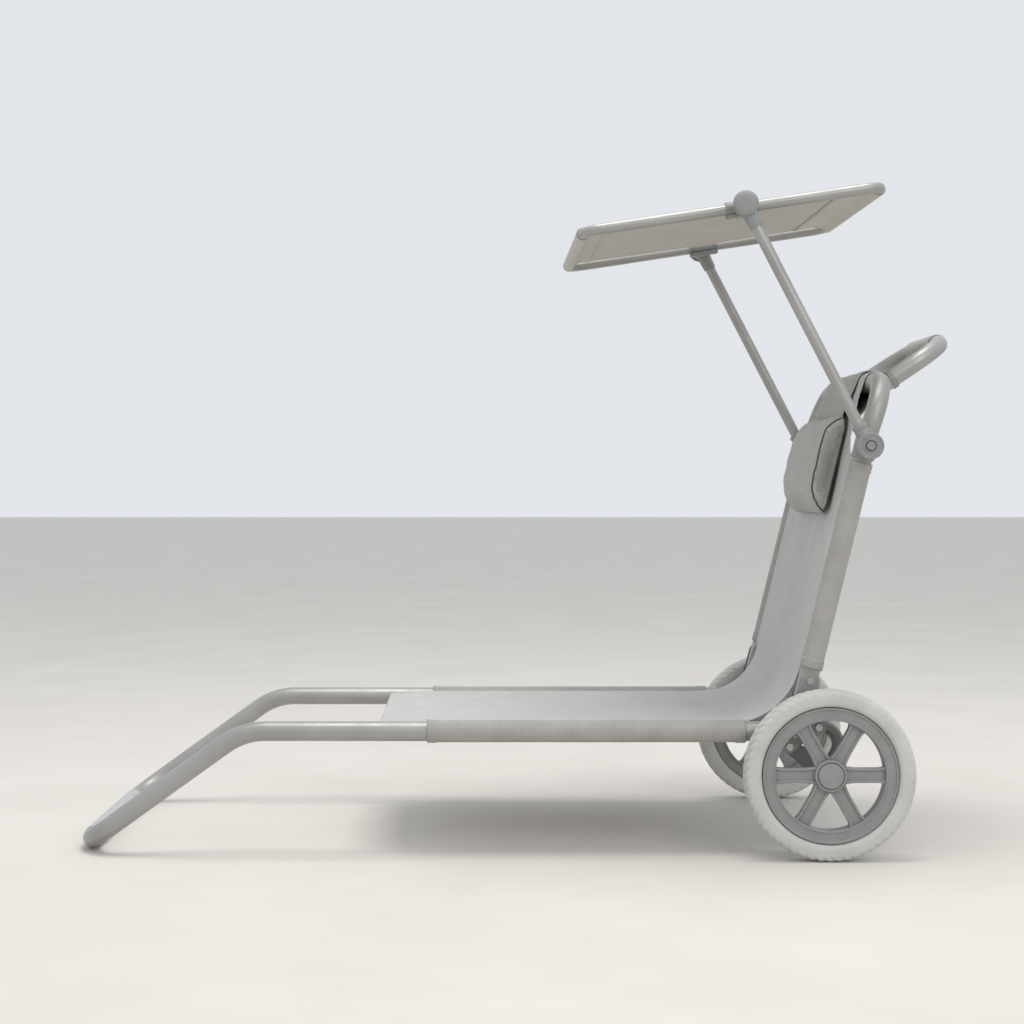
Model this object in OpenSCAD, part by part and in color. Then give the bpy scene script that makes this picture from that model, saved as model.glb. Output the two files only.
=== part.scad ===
// Beach cart: a two-wheeled lounger that is also pulled as a trolley.
// The sitter faces -X. The origin is on the ground under the middle of the whole cart.
// Left is the -Y side and right is the +Y side. All sizes are in millimetres.

/* [Frame] */
// Outer diameter of the bent seat and back tubes
tube_d = 28; // [22:1:34]
// Wall thickness of the bent tubes
tube_wall = 1.4; // [1:0.1:2.5]
// Distance between the left and right tube centres
frame_w = 458; // [380:1:600]
// Height of the seat rails' centre above the axle
axle_drop = 55.6; // [45:0.1:80]
// Distance from the fold hinge forward to the foot bar's centre
seat_reach = 1007.5; // [850:0.5:1300]
// Slope of the front legs below the horizontal
leg_slope = 35.7; // [25:0.1:50]
// Centreline radius of the bend between a rail and its leg
leg_bend_r = 100; // [60:1:150]
// Centreline radius of the two corners at the foot bar
foot_corner_r = 62; // [45:1:100]
// Lean of the back behind the vertical
back_lean = 13.8; // [5:0.1:30]
// Distance along the back from the fold hinge to the elbow under the headrest bar
elbow_s = 440; // [400:1:560]
// Distance from the elbow to the headrest bar's centre
head_len = 76; // [74:1:110]
// Extra lean of the back above the elbow
elbow_bend = 5; // [2:0.5:12]
// Centreline radius of the elbow
elbow_r = 160; // [100:5:200]
// Centreline radius of the back's two upper corners
head_corner_r = 60; // [45:1:65]

/* [Handle] */
// Outer diameter of the pull handle tube
handle_d = 26; // [20:1:28]
// Distance between the two handle legs
handle_w = 264; // [200:1:300]
// Slope of the handle above the horizontal
handle_slope = 34; // [20:1:50]
// Distance along the handle from the headrest bar to the grip bar
handle_len = 125.5; // [110:0.5:170]
// Distance that the handle legs pass under the headrest bar's centre
handle_drop = 11; // [4:0.5:11]
// Centreline radius of the handle's corners
handle_corner_r = 60; // [40:1:75]
// Outer diameter of the collar at each handle leg's foot
collar_d = 30; // [29:1:36]
// Wall thickness of the foam grip
grip_wall = 2.4; // [1.5:0.1:5]

/* [Wheels] */
// Outer diameter of the tyre
wheel_d = 240; // [210:1:300]
// Width of the tyre
tyre_w = 35; // [28:1:45]
// Radial height of the tyre outside the rim
tyre_h = 25; // [18:1:32]
// Distance from the back tube's centre out to the wheel's centre plane
wheel_out = 42; // [40:1:60]
// Distance of the axle behind the fold hinge
axle_back = 40.4; // [36:0.1:50]
// Axle diameter
axle_d = 12; // [8:1:14]
// Outer diameter of the hub
hub_d = 44; // [38:1:52]
// Width of the rim's ring, measured along the radius
rim_ring = 18; // [12:1:24]
// Number of spokes
spoke_n = 6; // [5:1:8]
// Width of a spoke
spoke_w = 21; // [14:1:24]
// Diameter of the hub cap
cap_d = 36; // [30:1:38]

/* [Canopy] */
// Outer diameter of the canopy and arm tubes
thin_d = 16; // [13:1:20]
// Wall thickness of the canopy and arm tubes
thin_wall = 1.2; // [0.8:0.1:2]
// Distance between the canopy's front and rear crossbar centres
canopy_len = 430; // [340:1:520]
// Gap between the canopy's side tubes and the inside of the arm heads
canopy_side_gap = 14; // [10:1:24]
// Share of the canopy's length that is ahead of the tilt pivots
canopy_ahead = 0.526; // [0.4:0.01:0.6]
// Rise of the canopy towards the rear
canopy_pitch = 8.6; // [0:0.1:20]
// Centreline radius of the canopy frame's corners
canopy_corner_r = 25; // [18:1:40]
// Distance along the back from the fold hinge to the arm pivots
pivot_s = 416; // [380:1:422]
// Distance from an arm's lower pivot to its tilt pivot
arm_len = 381.8; // [330:0.1:460]
// Forward lean of the arms from the vertical
arm_lean = 27.3; // [15:0.1:40]
// Diameter of the arm pivot disc
disc_d = 38; // [32:1:46]
// Width of the canopy's front hem
hem_front = 35; // [25:1:60]
// Width of the canopy's rear hem
hem_rear = 57; // [25:1:80]

/* [Fabric] */
// Thickness of the sling mesh
mesh_t = 2; // [1.5:0.1:3]
// Thickness of the sewn tunnel wall round a tube
tunnel_t = 1.8; // [1.2:0.1:3]
// Height of the sling above the tube centres
sling_rise = 8; // [4:0.5:11]
// Distance from the fold hinge forward to the rear end of the seat tunnels
seat_tunnel_from = 71.5; // [66:0.5:110]
// Length of the seat tunnels
seat_tunnel_len = 451; // [300:1:520]
// Length of the loose sling flap ahead of the seat tunnels
flap_len = 69; // [30:1:100]
// Distance along the back from the fold hinge to the lower end of the back tunnels
back_tunnel_from = 92; // [84:1:130]
// Length of the back tunnels
back_tunnel_len = 300.5; // [240:0.5:300.5]
// Width of the narrow sling top that wraps the headrest bar
sling_top_w = 300; // [280:1:310]
// Width of the headrest cushion
pillow_w = 255; // [200:1:280]
// Lower end of the headrest cushion, measured along the back
pillow_from = 306; // [280:1:320]
// Upper end of the headrest cushion, measured along the back
pillow_to = 462; // [430:1:470]
// Depth of the headrest cushion in front of the sling
pillow_t = 37; // [20:1:50]
// Width of the cushion's hanging flap
flap_w = 236; // [180:1:250]

/* [Hardware] */
// Thickness of the hinge plates
plate_t = 3; // [2:0.5:5]
// Diameter of the fold hinge bolt
fold_bolt_d = 10; // [8:1:12]
// Diameter of the small frame bolts
bolt_d = 6; // [5:1:8]
// Outer diameter of the axle hoop tube
hoop_d = 18; // [16:1:20]
// Height of the axle hoop's level stretch above the seat rails' centre
hoop_rise = 7.4; // [4:0.1:12]
// Distance of the hoop's rearmost centre point behind the fold hinge
hoop_out = 60.5; // [56:0.5:75]
// Centreline bend radius of the hoop
hoop_r = 26; // [20:1:28]
// Wall thickness of the foot bar's sleeve
foot_wall = 1; // [0.8:0.1:4]

/* [Hidden] */
// Radial play of a shaft that turns in a bore
run_gap = 0.05;
// Gap between faces that slide past each other
side_gap = 0.3;
// Gap between pieces of one body that are fitted together
fit_gap = 0.1;
// Lap of a bent tube's straights over its bends, and how much thinner a bend's wall is
bend_lap = 0.5;
bend_slim = 0.05;
$fn = 64;

tube_r = tube_d / 2;
half_w = frame_w / 2;
thin_r = thin_d / 2;
axle_z = wheel_d / 2;
seat_h = axle_z + axle_drop;
foot_grip_d = tube_d + 2 * foot_wall;
foot_z = foot_grip_d / 2;
// The arms stand clear of the back tubes by the saddle and the pivot disc
saddle_wall = 2.5;
saddle_d = tube_d + 2 * saddle_wall;
disc_lip = 2;
arm_clear = 15;
arm_y = half_w + tube_r + arm_clear;
disc_in = arm_y - thin_r - disc_lip;
disc_out = arm_y + thin_r + 3;
arm_bolt_d = 8;
tilt_bolt_d = 6;
eye_d = 30;
// The canopy's side tubes stand inside the arm heads
head_wall = 3.7;
canopy_y = arm_y - thin_r - canopy_side_gap - side_gap - head_wall - thin_r;
head_in = canopy_y + thin_r + canopy_side_gap;
canopy_front = -canopy_len * canopy_ahead;
canopy_rear = canopy_front + canopy_len;
hem_d = thin_d + 3;
clamp_len = 46;
head_lean = back_lean + elbow_bend;
// The headrest bar's centre, from the fold hinge
head_x = elbow_s * sin(back_lean) + head_len * sin(head_lean);
head_z = elbow_s * cos(back_lean) + head_len * cos(head_lean);
// The grip bar's centre, from the fold hinge
grip_x = head_x + handle_len * cos(handle_slope) + handle_drop * sin(handle_slope);
grip_z = head_z + handle_len * sin(handle_slope) - handle_drop * cos(handle_slope);
grip_r = handle_d / 2 + grip_wall;
// The fold hinge's place, so that the whole cart is centred on the origin
hinge_x = (seat_reach + foot_grip_d / 2 - grip_x - grip_r) / 2;
axle_x = hinge_x + axle_back;
pivot_x = hinge_x + pivot_s * sin(back_lean);
pivot_z = seat_h + pivot_s * cos(back_lean);
tilt_x = pivot_x - arm_len * sin(arm_lean);
tilt_z = pivot_z + arm_len * cos(arm_lean);

leg_drop = seat_h - foot_z;
leg_run = leg_drop / tan(leg_slope);
leg_len = leg_drop / sin(leg_slope);
leg_bend_t = leg_bend_r * tan(leg_slope / 2);
rail_start = 20;
back_start = 40;
elbow_t = elbow_r * tan(elbow_bend / 2);

// Hinge plates clasp the tubes on both sides
plate_in = tube_r + side_gap;
plate_out = plate_in + plate_t;
boss_wall = 5;
boss_d = axle_d + 2 * boss_wall;
hub_in_len = 21;
hub_out_len = 13;
hub_in = wheel_out - hub_in_len;
hub_out = wheel_out + hub_out_len;
rim_r = wheel_d / 2 - tyre_h;
bush_wall = 3;
bush_d = axle_d + 2 * bush_wall;
tunnel_d = tube_d + 2 * tunnel_t;
// Bolts through the hinge plates and the back tube, as distances along the back
back_bolt_s = [back_start + 17, back_start + 35];
hoop_bolt = [axle_back - 10, hoop_rise];
strut_top = [-11, -20];
strut_t = 4;
// The hoop bends until its straight end points at the axle
hoop_centre = [hoop_out - hoop_r, hoop_rise - hoop_r];
hoop_to_axle = [axle_back, -axle_drop] - hoop_centre;
hoop_bend = 90 - atan2(hoop_to_axle[1], hoop_to_axle[0]) - acos(hoop_r / norm(hoop_to_axle));
hoop_tail = sqrt(pow(norm(hoop_to_axle), 2) - pow(hoop_r, 2));

// ---- places -------------------------------------------------------------------

// The fold hinge, level
module at_hinge() {
    translate([hinge_x, 0, seat_h]) children();
}

// Along the back: z runs up the side tubes, x points to the rear
module on_back() {
    at_hinge() rotate([0, back_lean, 0]) children();
}

// Above the elbow, centred on the headrest bar
module on_head() {
    at_hinge() translate([head_x, 0, head_z]) rotate([0, head_lean, 0]) children();
}

// Along the handle: z runs out to the grip bar
module on_handle() {
    at_hinge() translate([head_x, 0, head_z]) rotate([0, 90 - handle_slope, 0])
        translate([handle_drop, 0, 0]) children();
}

// Along the arms: z runs up to the tilt pivots
module on_arm() {
    translate([pivot_x, 0, pivot_z]) rotate([0, -arm_lean, 0]) children();
}

// In the canopy's plane: x runs to the rear
module on_canopy() {
    translate([tilt_x, 0, tilt_z]) rotate([0, -canopy_pitch, 0]) children();
}

// A copy for one side: side is -1 for left and 1 for right, made as the right one and mirrored
module sided(side) {
    mirror([0, side < 0 ? 1 : 0, 0]) children();
}

// A cylinder along Y between two distances from the middle plane
module y_rod(y0, y1, d) {
    translate([0, y0, 0]) rotate([-90, 0, 0]) cylinder(d = d, h = y1 - y0);
}

// ---- tube bending -------------------------------------------------------------

// A tube's cross-section
module tube_ring(d, wall) {
    difference() {
        circle(d = d);
        circle(d = d - 2 * wall);
    }
}

// A bent tube that starts along +Z. Each step is [straight, roll, bend radius, bend angle]:
// it runs straight, rolls about its own line and bends towards its own +X.
// A bend's wall is a little thinner than the straights, which lap over its ends.
module bent_tube(d, wall, steps, i = 0) {
    if (i < len(steps)) {
        radius = steps[i][2];
        angle = steps[i][3];
        from = i == 0 ? 0 : -bend_lap;
        to = steps[i][0] + (angle > 0 ? bend_lap : 0);
        translate([0, 0, from]) linear_extrude(to - from) tube_ring(d, wall);
        translate([0, 0, steps[i][0]]) rotate([0, 0, steps[i][1]]) if (angle > 0) {
            translate([radius, 0, 0]) rotate([90, 0, 180]) rotate_extrude(angle = angle)
                translate([radius, 0]) tube_ring(d - 2 * bend_slim, wall - 2 * bend_slim);
            translate([radius, 0, 0]) rotate([0, angle, 0]) translate([-radius, 0, 0])
                bent_tube(d, wall, steps, i + 1);
        }
    }
}

// A sleeve round a tube along +Z
module sleeve(outer, inner, length) {
    linear_extrude(length) difference() {
        circle(d = outer);
        circle(d = inner);
    }
}

// ---- back frame ---------------------------------------------------------------

module back_frame() {
    side_run = elbow_s - elbow_t - back_start;
    head_run = head_len - elbow_t - head_corner_r;
    bar_run = frame_w - 2 * head_corner_r;
    color([0.66, 0.66, 0.64]) on_back() difference() {
        translate([0, -half_w, back_start]) bent_tube(tube_d, tube_wall, [
            [side_run, 0, elbow_r, elbow_bend],
            [head_run, 90, head_corner_r, 90],
            [bar_run, 0, head_corner_r, 90],
            [head_run, -90, elbow_r, elbow_bend],
            [side_run, 0, 0, 0]
        ]);
        for (side = [-1, 1]) sided(side) {
            translate([0, 0, pivot_s]) y_rod(half_w - tube_d, half_w + tube_d, arm_bolt_d + 2 * fit_gap);
            for (s = back_bolt_s) translate([0, 0, s])
                y_rod(half_w - tube_d, half_w + tube_d, bolt_d + 2 * fit_gap);
        }
    }
}

// Plastic plugs in the open lower ends of the back tubes
module back_plugs() {
    bore_d = tube_d - 2 * tube_wall - 2 * fit_gap;
    lip_h = 2;
    color([0.45, 0.45, 0.45]) on_back() for (side = [-1, 1]) sided(side)
        translate([0, half_w, back_start - lip_h]) {
            cylinder(d = tube_d, h = lip_h);
            cylinder(d = bore_d, h = lip_h + 9);
        }
}

// ---- fold hinge ---------------------------------------------------------------

// Outline of a hinge plate, from the fold hinge, in the side view
module plate_outline() {
    hull() {
        circle(r = tube_r + 3, $fn = 32);
        rotate(-back_lean) translate([0, back_bolt_s[1]]) circle(r = tube_r, $fn = 32);
    }
    hull() {
        circle(r = tube_r + 3, $fn = 32);
        translate(hoop_bolt) circle(r = hoop_d / 2 + 2, $fn = 32);
    }
    hull() {
        circle(r = tube_r + 3, $fn = 32);
        translate(strut_top) circle(r = 9, $fn = 32);
    }
}

// A flat piece in the side view, between two distances from the middle plane
module side_plate(y0, y1) {
    translate([0, y1, 0]) rotate([90, 0, 0]) linear_extrude(y1 - y0) children();
}

module hinge_plate_pair(side) {
    color([0.62, 0.62, 0.6]) at_hinge() sided(side) difference() {
        union() {
            side_plate(half_w + plate_in, half_w + plate_out) plate_outline();
            side_plate(half_w - plate_out, half_w - plate_in) plate_outline();
        }
        y_rod(half_w - 40, half_w + 40, fold_bolt_d + 2 * fit_gap);
        rotate([0, back_lean, 0]) for (s = back_bolt_s) translate([0, 0, s])
            y_rod(half_w - 40, half_w + 40, bolt_d + 2 * fit_gap);
        for (at = [hoop_bolt, strut_top]) translate([at[0], 0, at[1]])
            y_rod(half_w - 40, half_w + 40, bolt_d + 2 * fit_gap);
    }
}
module hinge_plates_left() { hinge_plate_pair(-1); }
module hinge_plates_right() { hinge_plate_pair(1); }

// A through bolt along Y with a hexagon head inboard and a low nut outboard
module y_bolt(d, y0, y1, head_h, nut_h) {
    y_rod(y0, y1, d);
    translate([0, y0 - head_h, 0]) rotate([-90, 0, 0]) cylinder(d = 1.8 * d, h = head_h, $fn = 6);
    translate([0, y1, 0]) rotate([-90, 0, 0]) cylinder(d = 1.8 * d, h = nut_h, $fn = 6);
}

module fold_bolts() {
    color([0.7, 0.7, 0.7]) at_hinge() for (side = [-1, 1]) sided(side)
        y_bolt(fold_bolt_d, half_w - plate_out, half_w + plate_out, 3.5, 3);
}

module plate_bolts() {
    strut_in = plate_out + strut_t;
    color([0.7, 0.7, 0.7]) at_hinge() for (side = [-1, 1]) sided(side) {
        rotate([0, back_lean, 0]) for (s = back_bolt_s) translate([0, 0, s])
            y_bolt(bolt_d, half_w - plate_out, half_w + plate_out, 3, 3);
        translate([hoop_bolt[0], 0, hoop_bolt[1]]) y_bolt(bolt_d, half_w - plate_out, half_w + plate_out, 3, 3);
        translate([strut_top[0], 0, strut_top[1]]) y_bolt(bolt_d, half_w - strut_in, half_w + plate_out, 3, 3);
    }
}

// ---- axle carrier -------------------------------------------------------------

module axle_hoop(side) {
    color([0.62, 0.62, 0.6]) at_hinge() sided(side) difference() {
        translate([rail_start, half_w, hoop_rise]) rotate([0, 90, 0])
            bent_tube(hoop_d, tube_wall, [[hoop_centre[0] - rail_start, 0, hoop_r, hoop_bend], [hoop_tail, 0, 0, 0]]);
        translate([axle_back, 0, -axle_drop]) y_rod(half_w - 20, half_w + 20, boss_d);
        translate([hoop_bolt[0], 0, hoop_bolt[1]]) y_rod(half_w - 20, half_w + 20, bolt_d + 2 * fit_gap);
    }
}
module axle_hoop_left() { axle_hoop(-1); }
module axle_hoop_right() { axle_hoop(1); }

// A pressed steel bar from the hinge plate down to the axle boss, with a raised rib
module axle_strut(side) {
    rib = 7;
    drop = -axle_drop;
    slope = atan2(drop - strut_top[1], axle_back - strut_top[0]);
    span = norm([axle_back - strut_top[0], drop - strut_top[1]]);
    y_out = half_w - plate_out;
    color([0.6, 0.6, 0.58]) at_hinge() sided(side) difference() {
        union() {
            side_plate(y_out - strut_t, y_out) hull() {
                translate(strut_top) circle(r = 9, $fn = 32);
                translate([axle_back, drop]) circle(r = boss_d / 2 + 5, $fn = 32);
            }
            side_plate(y_out - strut_t - 3, y_out - strut_t) translate(strut_top) rotate(slope)
                translate([12, -rib / 2]) square([span - 12 - boss_d / 2, rib]);
        }
        translate([axle_back, 0, drop]) y_rod(half_w - 60, half_w, boss_d + 2 * fit_gap);
        translate([strut_top[0], 0, strut_top[1]]) y_rod(half_w - 60, half_w, bolt_d + 2 * fit_gap);
    }
}
module axle_strut_left() { axle_strut(-1); }
module axle_strut_right() { axle_strut(1); }

// Welded bosses that hold the axle at the ends of the hoops
module axle_bosses() {
    color([0.6, 0.6, 0.58]) translate([axle_x, 0, axle_z]) for (side = [-1, 1]) sided(side) difference() {
        y_rod(half_w - plate_out - strut_t - 4, half_w + plate_out, boss_d);
        y_rod(half_w - 60, half_w + 60, axle_d + 2 * fit_gap);
    }
}

module axle() {
    reach = half_w + hub_out + 2.6;
    color([0.72, 0.72, 0.72]) translate([axle_x, 0, axle_z]) y_rod(-reach, reach, axle_d);
}

// Push-on clips that keep the wheels on the axle
module axle_clips() {
    color([0.72, 0.72, 0.72]) translate([axle_x, 0, axle_z]) for (side = [-1, 1]) sided(side) difference() {
        y_rod(half_w + hub_out + side_gap, half_w + hub_out + side_gap + 1.8, axle_d + 8);
        y_rod(half_w, half_w + 80, axle_d + 2 * fit_gap);
    }
}

module wheel_spacers() {
    color([0.4, 0.4, 0.4]) translate([axle_x, 0, axle_z]) for (side = [-1, 1]) sided(side) difference() {
        y_rod(half_w + plate_out, half_w + hub_in - side_gap, boss_d);
        y_rod(half_w, half_w + 80, axle_d + 2 * fit_gap);
    }
}

// ---- wheels -------------------------------------------------------------------

// A wheel's middle, with its own +Z pointing outboard
module at_wheel(side) {
    translate([axle_x, 0, axle_z]) sided(side) translate([0, half_w + wheel_out, 0]) rotate([-90, 0, 0]) children();
}

module rim(side) {
    ring_in = rim_r - rim_ring;
    hub_low = hub_in - wheel_out;
    hub_high = hub_out - wheel_out;
    color([0.53, 0.54, 0.54]) at_wheel(side) difference() {
        union() {
            // Ring with a raised outer lip, then the spokes and the hub
            translate([0, 0, -tyre_w / 2 + 5]) linear_extrude(tyre_w - 9) difference() {
                circle(r = rim_r);
                circle(r = ring_in);
            }
            translate([0, 0, hub_low]) cylinder(d = hub_d, h = hub_high - hub_low);
            for (i = [0:spoke_n - 1]) rotate(i * 360 / spoke_n) {
                translate([hub_d / 2 - 4, -spoke_w / 2, -3]) cube([ring_in - hub_d / 2 + 6, spoke_w, 8]);
                for (edge = [-1, 1]) translate([hub_d / 2 - 4, edge * (spoke_w / 2 - 2) - 2, 5])
                    cube([ring_in - hub_d / 2 + 6, 4, 4]);
            }
        }
        translate([0, 0, hub_low - 1]) cylinder(d = bush_d + 2 * fit_gap, h = hub_high - hub_low + 2);
    }
}
module rim_left() { rim(-1); }
module rim_right() { rim(1); }

// A solid tyre with rounded shoulders
module tyre(side) {
    round_r = 9;
    half = tyre_w / 2;
    seat_r = rim_r + fit_gap;
    color([0.8, 0.8, 0.79]) at_wheel(side) rotate_extrude() union() {
        translate([seat_r, -half + 4]) square([wheel_d / 2 - seat_r - round_r, tyre_w - 8]);
        translate([seat_r + 6, -half]) square([wheel_d / 2 - seat_r - round_r - 6, tyre_w]);
        translate([wheel_d / 2 - round_r - 1, -half + round_r]) square([round_r + 1, tyre_w - 2 * round_r]);
        for (y = [-half + round_r, half - round_r]) translate([wheel_d / 2 - round_r, y]) circle(r = round_r);
    }
}
module tyre_left() { tyre(-1); }
module tyre_right() { tyre(1); }

module hub_bush(side) {
    color([0.3, 0.3, 0.3]) at_wheel(side) translate([0, 0, hub_in - wheel_out]) difference() {
        cylinder(d = bush_d, h = hub_out - hub_in);
        translate([0, 0, -1]) cylinder(d = axle_d + 2 * run_gap, h = hub_out - hub_in + 2);
    }
}
module hub_bush_left() { hub_bush(-1); }
module hub_bush_right() { hub_bush(1); }

// A snap-on cap, hollow over the axle's clip
module hub_cap(side) {
    cap_h = 5.5;
    color([0.56, 0.57, 0.57]) at_wheel(side) translate([0, 0, hub_out - wheel_out]) difference() {
        union() {
            cylinder(d = cap_d, h = cap_h - 1.2);
            translate([0, 0, cap_h - 1.2]) cylinder(d1 = cap_d, d2 = cap_d - 5, h = 1.2);
        }
        translate([0, 0, -1]) cylinder(d = axle_d + 14, h = cap_h - 0.5);
    }
}
module hub_cap_left() { hub_cap(-1); }
module hub_cap_right() { hub_cap(1); }

// ---- handle -------------------------------------------------------------------

module handle_tube() {
    leg_run_h = handle_len - handle_corner_r;
    color([0.66, 0.66, 0.64]) difference() {
        on_handle() translate([0, -handle_w / 2, 0]) bent_tube(handle_d, tube_wall, [
            [leg_run_h, 90, handle_corner_r, 90],
            [handle_w - 2 * handle_corner_r, 0, handle_corner_r, 90],
            [leg_run_h, 0, 0, 0]
        ]);
        on_head() y_rod(-half_w, half_w, tube_d + 2 * fit_gap);
    }
}

// Weld collars at the feet of the handle legs
module handle_collars() {
    collar_at = tube_r + 9;
    color([0.62, 0.62, 0.6]) on_handle() for (side = [-1, 1])
        translate([0, side * handle_w / 2, collar_at]) sleeve(collar_d, handle_d + 2 * fit_gap, 7);
}

// Foam sleeve round the grip bar, straight and out of the corners
module handle_grip() {
    length = handle_w - 2 * handle_corner_r;
    color([0.62, 0.61, 0.6]) on_handle() translate([0, -length / 2, handle_len]) rotate([-90, 0, 0])
        sleeve(2 * grip_r, handle_d + 2 * fit_gap, length);
}

// ---- back sling ---------------------------------------------------------------

// The mesh between the side tunnels, narrowed above them to reach the headrest bar
module back_sling() {
    low = back_start + 28;
    wide = half_w - sqrt(pow(tunnel_d / 2, 2) - pow(sling_rise, 2)) - fit_gap;
    top = elbow_s + head_len - tube_r - 6;
    narrow_from = back_tunnel_from + back_tunnel_len;
    color([0.64, 0.64, 0.63]) on_back() translate([-sling_rise - mesh_t / 2, 0, 0]) rotate([0, -90, 0])
        translate([0, 0, -mesh_t / 2]) linear_extrude(mesh_t) polygon([
            [low, -wide + 22], [back_tunnel_from - 4, -wide + 14], [back_tunnel_from + 6, -wide],
            [narrow_from, -wide], [narrow_from + 30, -sling_top_w / 2],
            [top, -sling_top_w / 2], [top, sling_top_w / 2], [narrow_from + 30, sling_top_w / 2],
            [narrow_from, wide],
            [back_tunnel_from + 6, wide], [back_tunnel_from - 4, wide - 14], [low, wide - 22]
        ]);
}

module back_tunnel(side) {
    color([0.6, 0.59, 0.57]) on_back() sided(side) translate([0, half_w, back_tunnel_from])
        sleeve(tunnel_d, tube_d + 2 * fit_gap, back_tunnel_len);
}
module back_tunnel_left() { back_tunnel(-1); }
module back_tunnel_right() { back_tunnel(1); }

// The sling's upper end, sewn round the headrest bar, with cut-outs for the handle legs
module back_top_wrap() {
    color([0.62, 0.61, 0.6]) difference() {
        on_head() translate([0, -sling_top_w / 2, 0]) rotate([-90, 0, 0])
            sleeve(tunnel_d, tube_d + 2 * fit_gap, sling_top_w);
        on_handle() for (side = [-1, 1]) translate([0, side * handle_w / 2, 0]) cylinder(d = handle_d + 4, h = 60);
    }
}

// The headrest cushion: flat on the sling, with a rounded front
module pillow() {
    round_r = pillow_t / 2;
    base = -sling_rise - mesh_t - side_gap;
    color([0.63, 0.62, 0.6]) on_back() translate([0, pillow_w / 2, 0]) rotate([90, 0, 0]) linear_extrude(pillow_w)
        union() {
            translate([base - pillow_t + round_r, pillow_from + 8]) square([pillow_t - round_r, pillow_to - pillow_from - 16]);
            translate([base - pillow_t, pillow_from + round_r])
                square([round_r + 1, pillow_to - pillow_from - 2 * round_r]);
            for (s = [pillow_from + round_r, pillow_to - round_r]) translate([base - pillow_t + round_r, s])
                circle(r = round_r);
        }
}

// The cloth flap that hangs the cushion over the headrest bar
module pillow_flap() {
    flap_t = 2;
    wrap_in = tunnel_d / 2 + fit_gap;
    hang = elbow_s + head_len - pillow_to;
    color([0.6, 0.58, 0.56]) {
        difference() {
            on_head() translate([0, flap_w / 2, 0]) rotate([90, 0, 0]) linear_extrude(flap_w) difference() {
                union() {
                    circle(r = wrap_in + flap_t);
                    translate([-wrap_in - flap_t, -hang + 8]) square([flap_t, hang - 8]);
                }
                circle(r = wrap_in);
                rotate(-60) translate([0, -60]) square([60, 60]);
                rotate(-90) translate([0, -60]) square([60, 60]);
            }
            on_handle() for (side = [-1, 1]) translate([0, side * handle_w / 2, 0]) cylinder(d = handle_d + 6, h = 60);
        }
    }
}

// ---- seat ---------------------------------------------------------------------

module seat_frame() {
    rail_run = seat_reach - leg_run - leg_bend_t - rail_start;
    leg_straight = leg_len - leg_bend_t - foot_corner_r;
    bar_run = frame_w - 2 * foot_corner_r;
    color([0.66, 0.66, 0.64]) at_hinge() difference() {
        translate([-rail_start, -half_w, 0]) rotate([0, -90, 0]) rotate([0, 0, 180]) bent_tube(tube_d, tube_wall, [
            [rail_run, 0, leg_bend_r, leg_slope],
            [leg_straight, -90, foot_corner_r, 90],
            [bar_run, 0, foot_corner_r, 90],
            [leg_straight, 90, leg_bend_r, leg_slope],
            [rail_run, 0, 0, 0]
        ]);
    }
}

// Soft plastic sleeve that the front end stands on
module foot_grip() {
    length = frame_w - 2 * foot_corner_r;
    color([0.64, 0.65, 0.66]) at_hinge() translate([-seat_reach, -length / 2, foot_z - seat_h]) rotate([-90, 0, 0])
        sleeve(foot_grip_d, tube_d + 2 * fit_gap, length);
}

// Plastic eye plugged into a rail's rear end, which turns on the fold bolt
module rail_eye(side) {
    knuckle_d = tube_d - 1;
    plug_d = tube_d - 2 * tube_wall - 2 * fit_gap;
    color([0.42, 0.42, 0.42]) at_hinge() sided(side) difference() {
        union() {
            y_rod(half_w - tube_r, half_w + tube_r, knuckle_d);
            translate([0, half_w, 0]) rotate([0, -90, 0]) cylinder(d = knuckle_d, h = rail_start);
            translate([0, half_w, 0]) rotate([0, -90, 0]) cylinder(d = plug_d, h = rail_start + 26);
        }
        y_rod(half_w - 40, half_w + 40, fold_bolt_d + 2 * run_gap);
    }
}
module rail_eye_left() { rail_eye(-1); }
module rail_eye_right() { rail_eye(1); }

// The seat mesh, with a loose front flap whose corners are cut out round the rails
module seat_sling() {
    wide = half_w - sqrt(pow(tunnel_d / 2, 2) - pow(sling_rise, 2)) - fit_gap;
    rear = -seat_tunnel_from + 4;
    front = -seat_tunnel_from - seat_tunnel_len;
    color([0.67, 0.67, 0.67]) at_hinge() translate([0, 0, sling_rise]) linear_extrude(mesh_t) polygon([
        [rear, -wide + 16], [rear - 22, -wide], [front, -wide], [front - 12, -wide + 10], [front - 30, -wide + 16],
        [front - flap_len, -wide + 16], [front - flap_len, wide - 16], [front - 30, wide - 16],
        [front - 12, wide - 10], [front, wide], [rear - 22, wide], [rear, wide - 16]
    ]);
}

module seat_tunnel(side) {
    color([0.6, 0.59, 0.57]) at_hinge() sided(side) translate([-seat_tunnel_from, half_w, 0]) rotate([0, -90, 0])
        sleeve(tunnel_d, tube_d + 2 * fit_gap, seat_tunnel_len);
}
module seat_tunnel_left() { seat_tunnel(-1); }
module seat_tunnel_right() { seat_tunnel(1); }

// ---- canopy arms --------------------------------------------------------------

// Plastic saddle round the back tube that carries the arm pivot
module pivot_saddle(side) {
    color([0.5, 0.5, 0.49]) on_back() sided(side) difference() {
        union() {
            translate([0, half_w, pivot_s - 18]) cylinder(d = saddle_d, h = 36);
            translate([0, 0, pivot_s]) y_rod(half_w, disc_in - side_gap, disc_d - 8);
        }
        translate([0, half_w, pivot_s - 40]) cylinder(d = tube_d + 2 * fit_gap, h = 80);
        translate([0, 0, pivot_s]) y_rod(half_w - 60, half_w + 60, arm_bolt_d + 2 * fit_gap);
    }
}
module pivot_saddle_left() { pivot_saddle(-1); }
module pivot_saddle_right() { pivot_saddle(1); }

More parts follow.
